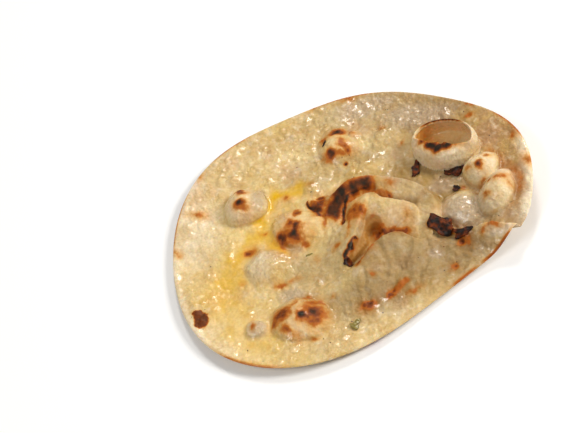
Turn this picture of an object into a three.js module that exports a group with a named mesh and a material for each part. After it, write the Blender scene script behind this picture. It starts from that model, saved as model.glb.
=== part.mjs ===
// A tandoori roti: one hand-patted oval of dough, blistered, burst and torn in the oven on its upper side.
// It lies with the blistered side up. Millimetres, +Z up, the origin on the floor under its middle.
import * as THREE from "three";

// The sheet of dough
const LENGTH = 200;
const WIDTH = 164;
const THICKNESS = 3.4;
const EDGE_THICKNESS = 2.2;
const EDGE_ROUND = 2;
const FLAT_SHARE = 0.2; // how much of the oval, by squared radius, rests flat on the floor
const DISH_RISE = 3; // how far the whole edge lifts off the floor
const TIP_RISE = 11; // how much further the +X end curls up
const TIP_START = 30; // the X where that curl begins

// Waves of the outline: how many lobes, how far they reach, and where one peaks, in degrees
const OUTLINE_WAVES = [
  { lobes: 1, size: 4, peak: -168 },
  { lobes: 2, size: 1.3, peak: 13 },
  { lobes: 3, size: 4.1, peak: -13 },
  { lobes: 4, size: 2, peak: -33 },
  { lobes: 5, size: 1.4, peak: -12 },
];
// A flap that stands out of those waves: its direction and spread in degrees, and how far it reaches
const FLAP = { direction: -35, spread: 12, size: 5 };

// Shallow hollows left by the hands: wave lengths along X and Y, and how deep they are
const HOLLOWS = [
  { alongX: 70, alongY: 58, size: 0.5 },
  { alongX: 37, alongY: 44, size: 0.35 },
];

// Closed blisters: middle, half-lengths, turn of the first half-length in degrees, and height.
// A side near 0.5 stands up steeply from the sheet, and one of 2 swells softly out of it.
const BLISTERS = [
  { x: -49, y: 32.5, rx: 12.8, ry: 12.6, turn: -30, height: 8, side: 0.78 },
  { x: 12, y: 46, rx: 13.4, ry: 12.8, turn: 0, height: 4.2, side: 1 },
  { x: 21.5, y: 48.5, rx: 4.4, ry: 4, turn: 0, height: 3.4, side: 1 },
  { x: 36, y: 38, rx: 9, ry: 7.5, turn: 0, height: 1.5, side: 1.2 },
  { x: 74.5, y: -13.5, rx: 11, ry: 9.6, turn: -39, height: 9.4, side: 0.66 },
  { x: 75.5, y: -32.5, rx: 13, ry: 10.6, turn: 40, height: 10.8, side: 0.62 },
  { x: 56.5, y: -29, rx: 12.4, ry: 11, turn: -35, height: 5.4, side: 0.72 },
  { x: -50, y: -9, rx: 14.4, ry: 13.8, turn: -28, height: 3.4, side: 0.9 },
  { x: -43, y: -51, rx: 16, ry: 15, turn: -23, height: 6, side: 0.85 },
  { x: -66.5, y: -46, rx: 7, ry: 6.4, turn: 40, height: 3.2, side: 0.9 },
  { x: -27, y: 5.5, rx: 15.4, ry: 14, turn: -30, height: 4.4, side: 0.95 },
];
const BLISTER_WOBBLES = [
  { lobes: 2, size: 0.07 },
  { lobes: 3, size: 0.05 },
];
const BLISTER_PHASE = 2.4; // how far the wobble turns from one blister to the next

// The burst blister: a cup of thin skin, open above, whose near side still arches over its hollow
const BURST = { x: 63.5, y: 10.5, rx: 19.4, ry: 12.8, turn: -39.5, height: 12, skin: 1.1, side: 0.6 };
const BURST_LIP = 0.86; // how far out from the middle the lip stands, as a share of the foot
const BURST_ARCH = 0.27; // where the near side's arch ends, in the same share
const BURST_NEAR = -92; // where the near side is round the cup, in degrees from its long half
const BURST_NOTCHES = { lobes: 7, size: 0.06 }; // how ragged the arch's end is
const BURST_LIP_SHARE = 0.56; // shares of the cup's radius that make its outer skin, inner skin and floor
const BURST_FLOOR_SHARE = 0.28;
const BURST_LIP_PULL = 0.06; // places this near the lip are moved onto it, so that it stays sharp

// The torn blister: a broad swelling, ridges of folded skin on it, and the slit between them.
// A ridge runs through [x, y, height] points. Walking along it, its sides are as wide as left and right
// say, and its crest leans over to the left.
const SWELL = { x: 8, y: -12, rx: 46, ry: 34, turn: -25, height: 1.6, side: 2 };
const RIDGES = [
  {
    name: "far crest",
    line: [[-16, 13, 0.3], [-7, 10.5, 2.4], [1, 12.5, 5], [9, 14, 7.2], [17, 11.5, 8.2], [24, 7.3, 8.6],
      [31, 1.8, 8.6], [37.5, -4, 8.2], [42, -11, 7.6], [44.6, -18, 6.6], [43.4, -24, 5.4], [39, -32, 2.4]],
    left: 5, right: 17, lean: 1.4,
  },
  {
    name: "folded tongue",
    line: [[11, 3, 4], [17, 0.8, 6.4], [19, -4.6, 6.6], [23.5, -9.4, 6.6], [28.7, -13.5, 6.2],
      [33.4, -17.4, 5.6], [34, -21.4, 4.6], [32, -27, 2]],
    left: 3, right: 18, lean: 2,
  },
  {
    name: "strip beside the slit",
    line: [[15, 0, 6], [7.5, -7.5, 5.4], [2, -14, 4.8], [-3, -20.5, 4.4], [-8, -27, 3.2],
      [-12.5, -34, 0.8]],
    left: 3, right: 15, lean: 0.5,
  },
  {
    name: "near lip",
    line: [[-28, -40, 0.6], [-13, -37, 2.8], [-5, -36.8, 4], [1, -34.2, 5.2], [6.5, -31.2, 6.2],
      [11.5, -30, 6.8], [16, -29.8, 7], [20.5, -30.8, 6.8], [24.8, -33.4, 5.6], [29, -37, 3.4],
      [38, -38, 1]],
    left: 2.6, right: 24, lean: 1.8,
  },
  {
    name: "pinched fold",
    line: [[-20, 20, 0.6], [-13, 14.5, 3.4], [-10, 5, 0.8]],
    left: 3.5, right: 4.5, lean: 0.8,
  },
  {
    name: "scorched scrap",
    line: [[36.5, -30, 1.2], [43.5, -32.5, 4.8], [46, -38.5, 3.4], [50, -42.5, 3.4], [56, -44, 1]],
    left: 3.5, right: 4.5, lean: 0.6,
  },
  { name: "edge fold", line: [[63, -42, 0.4], [75, -45, 2], [90, -47, 2]], left: 5, right: 7, lean: 0 },
];
const SLIT = {
  line: [[9.4, -19], [7, -23.5], [0.5, -27.5], [-7.5, -30.5]],
  wide: 5.4, narrow: 2.2, bank: 1.8, floor: 1.3,
};
const CRACK = { line: [[19, 4], [9, 5.4], [2, 2], [-3, -5]], reach: 2.6, depth: 2.4 };

// The pleat: a fold of the whole sheet that runs out to the edge
const PLEAT = {
  line: [[50, -43.5, 0.6], [60, -47, 5.2], [67, -52, 6.8], [76, -59, 6.4], [90, -69, 5]],
  left: 3, right: 15, lean: 0,
};

// Relief fades out over this much of the sheet at its edge
const RELIEF_FADE = 7;

// How finely the skin is divided, and the rings that follow the rounded edge
const TOP_STEP = 6;
const UNDER_STEP = 9;
const RIM_STEP = 4;
const TOP_EDGE_RINGS = [0.45, 2.2];
const UNDER_EDGE_RINGS = [2.2];
const LONGEST_EDGE = 7;
const BEND_TOLERANCE = 0.25;
const REFINING_PASSES = 5;
const CURVE_STEPS = 40;
const MEAN_RADIUS = (LENGTH + WIDTH) / 4;
const RIM_COUNT = Math.round((2 * Math.PI * MEAN_RADIUS) / RIM_STEP);

const COLOUR = 0xdfc489;
const ROUGHNESS = 0.6;

const { clamp, degToRad, lerp, smoothstep } = THREE.MathUtils;

// A smooth line through [x, y, height] points, as a list of short steps.
function smoothLine(points) {
  const corners = points.map(([x, y, height = 0]) => new THREE.Vector3(x, y, height));
  return new THREE.CatmullRomCurve3(corners, false, "catmullrom").getPoints(CURVE_STEPS);
}

for (const fold of [...RIDGES, PLEAT, SLIT, CRACK]) fold.steps = smoothLine(fold.line);

// The nearest point of a line: how far away it is, on which side, and the line's height and run there.
function nearest(steps, x, y) {
  let best = { away: Infinity };
  for (let i = 1; i < steps.length; i++) {
    const [a, b] = [steps[i - 1], steps[i]];
    const [runX, runY] = [b.x - a.x, b.y - a.y];
    const length = Math.hypot(runX, runY);
    const share = clamp(((x - a.x) * runX + (y - a.y) * runY) / length ** 2, 0, 1);
    const [gapX, gapY] = [x - a.x - share * runX, y - a.y - share * runY];
    const away = Math.hypot(gapX, gapY);
    if (away < best.away) {
      const onLeft = runX * gapY - runY * gapX > 0;
      const along = (i - 1 + share) / (steps.length - 1);
      const height = lerp(a.z, b.z, share);
      best = { away, onLeft, along, height, leftX: -runY / length, leftY: runX / length };
    }
  }
  return best;
}

// A ridge's height at a point, and how far its crest leans there.
function ridgeAt(ridge, x, y) {
  const near = nearest(ridge.steps, x, y);
  const share = Math.min(1, near.away / (near.onLeft ? ridge.left : ridge.right));
  const profile = 1 - smoothstep(share, 0, 1);
  const lean = ridge.lean * profile ** 2 * Math.sin(Math.PI * near.along);
  return { height: near.height * profile, leanX: near.leftX * lean, leanY: near.leftY * lean };
}

// Where a point lies in an oval form: 0 in its middle, 1 at its foot, and its direction round the form.
function ovalPlace(form, x, y) {
  const turn = degToRad(form.turn);
  const [dx, dy] = [x - form.x, y - form.y];
  const p = (dx * Math.cos(turn) + dy * Math.sin(turn)) / form.rx;
  const q = (dy * Math.cos(turn) - dx * Math.sin(turn)) / form.ry;
  return { share: Math.hypot(p, q), around: Math.atan2(q, p) };
}

// An oval swelling's height at a point. Its foot wobbles round the oval, turned by the phase.
function domeHeight(form, x, y, phase) {
  const { share, around } = ovalPlace(form, x, y);
  const wobble = ({ lobes, size }) => size * Math.cos(lobes * around + phase);
  const reach = share / BLISTER_WOBBLES.reduce((sum, each) => sum + wobble(each), 1);
  return reach < 1 ? form.height * (1 - reach ** 2) ** form.side : 0;
}

function edgeRadius(angle) {
  const oval = 1 / Math.hypot(Math.cos(angle) / (LENGTH / 2), Math.sin(angle) / (WIDTH / 2));
  const wave = ({ lobes, size, peak }) => size * Math.cos(lobes * (angle - degToRad(peak)));
  const swing = 2 - 2 * Math.cos(angle - degToRad(FLAP.direction));
  const flap = FLAP.size * Math.exp(-swing / degToRad(FLAP.spread) ** 2);
  return OUTLINE_WAVES.reduce((radius, each) => radius + wave(each), oval + flap);
}

// How high the underside lies over the floor: flat in the middle, lifted all round, curled up at one end.
function underside(x, y) {
  const spread = (x / (LENGTH / 2)) ** 2 + (y / (WIDTH / 2)) ** 2;
  const dish = DISH_RISE * (Math.max(0, spread - FLAT_SHARE) / (1 - FLAT_SHARE)) ** 2;
  const tip = TIP_RISE * (Math.max(0, x - TIP_START) / (LENGTH / 2 - TIP_START)) ** 2;
  return dish + tip + ridgeAt(PLEAT, x, y).height;
}

// The sheet's thickness at a point, and how much of it the rounded edge leaves.
function sheetAt(x, y) {
  const radius = edgeRadius(Math.atan2(y, x));
  const share = Math.min(1, Math.hypot(x, y) / radius);
  const inward = (1 - share) * radius;
  const thickness = lerp(THICKNESS, EDGE_THICKNESS, share ** 4);
  const round = Math.sqrt(1 - (1 - Math.min(1, inward / EDGE_ROUND)) ** 2);
  return { thickness, round, inward };
}

function hollows(x, y) {
  const wave = ({ alongX, alongY, size }) =>
    size * Math.sin((2 * Math.PI * x) / alongX + 1) * Math.sin((2 * Math.PI * y) / alongY + 0.5);
  return HOLLOWS.reduce((sum, each) => sum + wave(each), 0);
}

// The plain upper side of the sheet, before any blister.
function sheetTop(x, y) {
  const { thickness, round, inward } = sheetAt(x, y);
  const fade = smoothstep(inward, 0, RELIEF_FADE);
  return underside(x, y) + (thickness * (1 + round)) / 2 + hollows(x, y) * fade;
}

// A place inside the burst blister's foot becomes a point of its outer skin, its inner skin or its floor.
function burstPoint(share, around) {
  const turn = degToRad(BURST.turn);
  const facing = Math.max(0, Math.cos(around - degToRad(BURST_NEAR)));
  const notch = BURST_NOTCHES.size * Math.sin(BURST_NOTCHES.lobes * around) * smoothstep(facing, 0, 0.6);
  const lipReach = notch + ((1 / BURST_LIP) ** 4 + (facing / BURST_ARCH) ** 4) ** -0.25;
  const lip = Math.acos(lipReach ** (1 / BURST.side));
  const arch = BURST.height / Math.sin(lip) ** BURST.side;
  let reach;
  let height = 0;
  if (share > BURST_LIP_SHARE) {
    const rise = (lip * (1 - share)) / (1 - BURST_LIP_SHARE);
    reach = Math.cos(rise) ** BURST.side;
    height = arch * Math.sin(rise) ** BURST.side;
  } else {
    const down = Math.min(1, (BURST_LIP_SHARE - share) / (BURST_LIP_SHARE - BURST_FLOOR_SHARE));
    const skin = BURST.skin * Math.min(1, down / 0.15);
    const rise = lip * (1 - down);
    reach = (1 - skin / BURST.ry) * Math.cos(rise) ** BURST.side * Math.min(1, share / BURST_FLOOR_SHARE);
    height = (arch - skin) * Math.sin(rise) ** BURST.side;
  }
  const [p, q] = [reach * Math.cos(around) * BURST.rx, reach * Math.sin(around) * BURST.ry];
  const x = BURST.x + p * Math.cos(turn) - q * Math.sin(turn);
  const y = BURST.y + p * Math.sin(turn) + q * Math.cos(turn);
  return new THREE.Vector3(x, y, sheetTop(x, y) + height);
}

// The finished upper side over a point of the sheet.
function topPoint(x, y) {
  const cup = ovalPlace(BURST, x, y);
  if (cup.share < 1) return burstPoint(cup.share, cup.around);
  const { thickness, inward } = sheetAt(x, y);
  const fade = smoothstep(inward, 0, RELIEF_FADE);
  const folds = RIDGES.map((ridge) => ridgeAt(ridge, x, y));
  const domes = BLISTERS.map((blister, i) => domeHeight(blister, x, y, i * BLISTER_PHASE));
  let relief = Math.max(...domes, ...folds.map((fold) => fold.height)) + domeHeight(SWELL, x, y, 0);
  relief -= CRACK.depth * (1 - smoothstep(nearest(CRACK.steps, x, y).away, 0, CRACK.reach));
  const slit = nearest(SLIT.steps, x, y);
  const reach = lerp(SLIT.wide, SLIT.narrow, slit.along);
  relief = lerp(SLIT.floor - thickness, relief, smoothstep(slit.away, reach - SLIT.bank, reach));
  const leanX = folds.reduce((sum, fold) => sum + fold.leanX, 0);
  const leanY = folds.reduce((sum, fold) => sum + fold.leanY, 0);
  return new THREE.Vector3(x + leanX * fade, y + leanY * fade, sheetTop(x, y) + relief * fade);
}

function underPoint(x, y) {
  const { thickness, round } = sheetAt(x, y);
  return new THREE.Vector3(x, y, underside(x, y) + (thickness * (1 - round)) / 2);
}

// How far a place lies outside the burst blister's lip, as a share of the blister. Close to it, it is 0.
function outsideLip({ x, y }) {
  const gap = ovalPlace(BURST, x, y).share - BURST_LIP_SHARE;
  return Math.abs(gap) < 1e-9 ? 0 : gap;
}

// A place moved straight in or out onto the burst blister's lip.
function ontoLip(place) {
  const pull = BURST_LIP_SHARE / (BURST_LIP_SHARE + outsideLip(place));
  return { ...place, x: BURST.x + (place.x - BURST.x) * pull, y: BURST.y + (place.y - BURST.y) * pull };
}

// A ring of evenly spread places on the sheet, at a share of the way out to its edge.
function ring(share, count) {
  return Array.from({ length: count }, (_, i) => {
    const angle = (2 * Math.PI * i) / count;
    const radius = share * edgeRadius(angle);
    const place = { x: radius * Math.cos(angle), y: radius * Math.sin(angle), turn: i / count };
    return Math.abs(outsideLip(place)) < BURST_LIP_PULL ? ontoLip(place) : place;
  });
}

// Triangles between a ring and the next one inside it, given as lists of place numbers.
function zipRings(outer, inner, places) {
  const faces = [];
  const turnOf = (list, i) => places[list[i % list.length]].turn + Math.floor(i / list.length);
  for (let i = 0, j = 0; i < outer.length || j < inner.length; ) {
    const [a, b] = [outer[i % outer.length], inner[j % inner.length]];
    if (j === inner.length || (i < outer.length && turnOf(outer, i + 1) <= turnOf(inner, j + 1))) {
      faces.push([a, outer[++i % outer.length], b]);
    } else {
      faces.push([a, inner[++j % inner.length], b]);
    }
  }
  return faces;
}

// A disc of places and triangles: the rim, rings close inside it, then rings a step apart in to the middle.
function disc(edgeRings, step) {
  const places = ring(1, RIM_COUNT);
  const faces = [];
  let outer = places.map((_, i) => i);
  const addRing = (share, count) => {
    const added = ring(share, count);
    const inner = added.map((_, i) => places.length + i);
    places.push(...added);
    faces.push(...zipRings(outer, inner, places));
    outer = inner;
  };
  for (const inward of edgeRings) addRing(1 - inward / MEAN_RADIUS, RIM_COUNT);
  const open = MEAN_RADIUS - edgeRings.at(-1);
  const rings = Math.round(open / step);
  for (let k = rings - 1; k > 0; k--) {
    const radius = (open * k) / rings;
    addRing(radius / MEAN_RADIUS, Math.max(6, Math.round((2 * Math.PI * radius) / step)));
  }
  const middle = places.push({ x: 0, y: 0, turn: 0 }) - 1;
  outer.forEach((a, i) => faces.push([a, outer[(i + 1) % outer.length], middle]));
  return { places, faces };
}

// Halves the edges that are too long, miss the curved skin or cross a lip, leaving the rim as it is.
function refine({ places, faces }, pointAt) {
  const points = places.map(({ x, y }) => pointAt(x, y));
  const halves = new Map();
  const halfway = (a, b) => {
    if (a < RIM_COUNT && b < RIM_COUNT) return null;
    const key = a < b ? `${a} ${b}` : `${b} ${a}`;
    if (!halves.has(key)) {
      const [outA, outB] = [outsideLip(places[a]), outsideLip(places[b])];
      const crosses = outA * outB < 0;
      const share = crosses ? outA / (outA - outB) : 0.5;
      const [from, to] = [places[a], places[b]];
      const between = { x: lerp(from.x, to.x, share), y: lerp(from.y, to.y, share) };
      const middle = crosses || (outA === 0 && outB === 0) ? ontoLip(between) : between;
      const bend = pointAt(middle.x, middle.y).distanceTo(points[a].clone().lerp(points[b], share));
      const split = crosses || bend > BEND_TOLERANCE || points[a].distanceTo(points[b]) > LONGEST_EDGE;
      halves.set(key, split ? places.push(middle) - 1 : null);
    }
    return halves.get(key);
  };
  const divided = faces.flatMap(([a, b, c]) => {
    const [ab, bc, ca] = [halfway(a, b), halfway(b, c), halfway(c, a)];
    const corners = [a, ab, b, bc, c, ca].filter((place) => place !== null);
    if (corners.length === 6) return [[a, ab, ca], [ab, b, bc], [bc, c, ca], [ab, bc, ca]];
    // Starting at a halfway place keeps every triangle of the fan open.
    const start = Math.max(0, corners.findIndex((place) => place === ab || place === bc || place === ca));
    const fan = corners.map((_, i) => corners[(start + i) % corners.length]);
    return fan.slice(2).map((place, i) => [fan[0], fan[i + 1], place]);
  });
  return { places, faces: divided };
}

// The whole bread: a finely divided upper side and a plainer underside that share one rim.
function breadGeometry() {
  let top = disc(TOP_EDGE_RINGS, TOP_STEP);
  for (let pass = 0; pass < REFINING_PASSES; pass++) top = refine(top, topPoint);
  const under = disc(UNDER_EDGE_RINGS, UNDER_STEP);
  const offset = top.places.length - RIM_COUNT;
  const shared = (place) => (place < RIM_COUNT ? place : place + offset);
  const corners = [
    ...top.places.map(({ x, y }) => topPoint(x, y)),
    ...under.places.slice(RIM_COUNT).map(({ x, y }) => underPoint(x, y)),
  ];
  const faces = [...top.faces, ...under.faces.map(([a, b, c]) => [shared(a), shared(c), shared(b)])];
  const geometry = new THREE.BufferGeometry().setFromPoints(corners);
  geometry.setIndex(faces.flat());
  geometry.computeBoundingBox();
  const { min, max } = geometry.boundingBox;
  geometry.translate(-(min.x + max.x) / 2, -(min.y + max.y) / 2, -min.z);
  geometry.computeVertexNormals();
  return geometry;
}

const roti = new THREE.Mesh(
  breadGeometry(),
  new THREE.MeshStandardMaterial({ color: COLOUR, roughness: ROUGHNESS, metalness: 0 }),
);
roti.name = "roti";

const bread = new THREE.Group();
bread.add(roti);

export default bread;
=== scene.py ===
"""A buttered tandoori roti lying blistered side up, with scorched blisters, a burst one and a torn one."""

import math

import bpy
import numpy as np
from mathutils import Matrix, Vector


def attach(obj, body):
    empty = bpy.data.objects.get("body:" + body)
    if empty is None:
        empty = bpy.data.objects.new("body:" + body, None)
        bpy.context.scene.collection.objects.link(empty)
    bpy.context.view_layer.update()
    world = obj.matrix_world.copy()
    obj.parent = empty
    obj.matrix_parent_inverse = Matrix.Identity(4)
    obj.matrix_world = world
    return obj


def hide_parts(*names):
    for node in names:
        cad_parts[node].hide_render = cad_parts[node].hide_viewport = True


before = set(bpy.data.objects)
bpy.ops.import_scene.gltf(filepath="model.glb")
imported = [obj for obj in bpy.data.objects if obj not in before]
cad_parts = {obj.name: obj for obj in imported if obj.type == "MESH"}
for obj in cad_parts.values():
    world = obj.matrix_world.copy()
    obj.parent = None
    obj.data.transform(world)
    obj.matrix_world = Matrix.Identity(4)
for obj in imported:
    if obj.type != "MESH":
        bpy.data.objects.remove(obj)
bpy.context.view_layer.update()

# Shapes are worked out in millimetres, as the bread was designed, and made in metres.
MM = 0.001

# The sheet of dough
LENGTH = 200
WIDTH = 164
THICKNESS = 3.4
EDGE_THICKNESS = 2.2
EDGE_ROUND = 2
FLAT_SHARE = 0.2
DISH_RISE = 3
TIP_RISE = 11
TIP_START = 30
RELIEF_FADE = 7
MEAN_RADIUS = (LENGTH + WIDTH) / 4

# Waves of the outline: lobes, size, and the direction of a peak in degrees
OUTLINE_WAVES = [(1, 4, -168), (2, 1.3, 13), (3, 4.1, -13), (4, 2, -33), (5, 1.4, -12)]
# A flap that stands out of them: direction and spread in degrees, and reach
FLAP = (-35, 12, 5)

# Hollows left by the hands: wave lengths along X and Y, and size
HOLLOWS = [(70, 58, 0.5), (37, 44, 0.35)]
HOLLOW_PHASES = (1, 0.5)

# Closed blisters: x, y, two half-lengths, turn in degrees, height, and how softly the side swells
BLISTERS = [
    (-49, 32.5, 12.4, 13.2, -30, 9.5, 0.75),
    (12, 46, 13.4, 12.8, 0, 4.2, 1),
    (21.5, 48.5, 4.4, 4, 0, 3.4, 1),
    (36, 38, 9, 7.5, 0, 1.5, 1.2),
    (74.5, -13.5, 11, 9.6, -39, 9.4, 0.66),
    (75.5, -32.5, 13, 10.6, 40, 10.8, 0.62),
    (56.5, -29, 12.4, 11, -35, 5.4, 0.72),
    (-49.5, -10, 12.6, 12.2, -28, 2.8, 1),
    (-43, -51, 16, 15, -23, 6, 0.85),
    (-66.5, -46, 7, 6.4, 40, 3.2, 0.9),
    (-27, 5.5, 15.4, 14, -30, 4.4, 0.95),
]
# Wobbles of their outline: lobes and size, and how far they turn from one blister to the next
BLISTER_WOBBLES = [(2, 0.07), (3, 0.05)]
BLISTER_PHASE = 2.4

# The burst blister: its foot as x, y, two half-lengths and a turn, its height, and how its side rounds
BURST = (63.5, 10.5, 19.4, 12.8, -39.5)
BURST_HEIGHT = 12
BURST_SIDE = 0.6
# How thick its skin is, and the share of the inner side over which it grows that thick
BURST_SKIN = 1.1
BURST_SKIN_START = 0.15
# Where the lip stands as a share of the foot: at the far side, and at the near side, which arches over.
# The near side's direction is in degrees, and the rounding says how sharply the lip turns into the arch.
BURST_LIP = 0.86
BURST_ARCH = 0.27
BURST_NEAR = -92
BURST_ROUNDING = 4
# Notches in the near lip: how many and how deep, and how far it faces the near side where they are whole
BURST_NOTCHES = (7, 0.06)
BURST_NOTCH_RISE = 0.6
# Which places of the sheet under it become its lip and the edge of its floor, as shares of the foot
BURST_LIP_SHARE = 0.56
BURST_FLOOR_SHARE = 0.28

# The torn blister: its swelling, then ridges through (x, y, height) points,
# each with a width on its left and its right and a lean
SWELL = (8, -12, 46, 34, -25, 1.6, 2)
FAR_CREST = (
    [(-16, 13, 0.3), (-7, 10.5, 2.4), (1, 12.5, 5), (9, 14, 7.2), (17, 11.5, 8.2), (24, 7.3, 8.6),
     (31, 1.8, 8.6), (37.5, -4, 8.2), (42, -11, 7.6), (44.6, -18, 6.6), (43.4, -24, 5.4), (39, -32, 2.4)],
    5, 17, 1.4)
FOLDED_TONGUE = (
    [(11, 3, 4), (17, 0.8, 6.4), (19, -4.6, 6.6), (23.5, -9.4, 6.6), (28.7, -13.5, 6.2), (33.4, -17.4, 5.6),
     (34, -21.4, 4.6), (32, -27, 2)],
    3, 18, 2)
SLIT_STRIP = (
    [(15, 0, 6), (7.5, -7.5, 5.4), (2, -14, 4.8), (-3, -20.5, 4.4), (-8, -27, 3.2), (-12.5, -34, 0.8)],
    3, 15, 0.5)
NEAR_LIP = (
    [(-28, -40, 0.6), (-13, -37, 2.8), (-5, -36.8, 4), (1, -34.2, 5.2), (6.5, -31.2, 6.2), (11.5, -30, 6.8),
     (16, -29.8, 7), (20.5, -30.8, 6.8), (24.8, -33.4, 5.6), (29, -37, 3.4), (38, -38, 1)],
    2.6, 24, 1.8)
PINCHED_FOLD = ([(-20, 20, 0.6), (-13, 14.5, 3.4), (-10, 5, 0.8)], 3.5, 4.5, 0.8)
SCORCHED_SCRAP = (
    [(36.5, -30, 1.2), (43.5, -32.5, 4.8), (46, -38.5, 3.4), (50, -42.5, 3.4), (56, -44, 1)], 3.5, 4.5, 0.6)
EDGE_FOLD = ([(63, -42, 0.4), (75, -45, 2), (90, -47, 2)], 5, 7, 0)
RIDGES = [FAR_CREST, FOLDED_TONGUE, SLIT_STRIP, NEAR_LIP, PINCHED_FOLD, SCORCHED_SCRAP, EDGE_FOLD]
# The pleat at the curled-up end, a ridge under which the underside lifts too
PLEAT = ([(50, -43.5, 0.6), (60, -47, 5.2), (67, -52, 6.8), (76, -59, 6.4), (90, -69, 5)], 3, 15, 0)
# The slit: its line, its reach to each side at its two ends, its bank, and how thick its floor is
SLIT = [(9.4, -19), (7, -23.5), (0.5, -27.5), (-7.5, -30.5)]
SLIT_WIDE = 5.4
SLIT_NARROW = 2.2
SLIT_BANK = 1.8
SLIT_FLOOR = 1.3
# The hole in it where crumb shows, and the crack behind the tongue: lines, reach to each side, and depth
HOLE = [(11, -15), (7, -18.5), (1.5, -22.5), (-6, -27.2)]
HOLE_WIDE = 5.6
HOLE_NARROW = 2.6
CRACK = [(19, 4), (9, 5.4), (2, 2), (-3, -5)]
CRACK_REACH = 2.6
CRACK_DEPTH = 2.4

# Creases of the dull sheet in front of the slit: a line, its width, and its depth
CREASES = [
    ([(9, -32), (10, -40), (6, -47)], 3.4, 1.2),
    ([(24, -34), (21, -39), (15, -46)], 4.2, 1.8),
    ([(15, -36), (12, -48), (6, -56)], 3.2, 1),
    ([(-3, -41), (-6, -50), (-7, -57)], 2.4, 0.8),
    ([(33, -39), (30, -47), (22, -55)], 3, 1.1),
]

# How finely the crust is divided
TOP_STEP = 0.85
UNDER_STEP = 2.4
RIM_STEP = 1.1
TOP_EDGE_RINGS = [0.25, 0.8, 1.5]
UNDER_EDGE_RINGS = [0.5, 1.3]
LONGEST_EDGE = 1.25
REFINING_PASSES = 2
FEWEST_SIDES = 6
RIM_COUNT = round(2 * math.pi * MEAN_RADIUS / RIM_STEP)

# Lines on the sheet: the steps each is divided into, and what stands for out of reach
CURVE_STEPS = 40
FAR_AWAY = 1e3

# Chance patterns: the count of their knots, and where on them the bread lies
PATCH_KNOTS = 64
PATCH_START = 500

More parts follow.
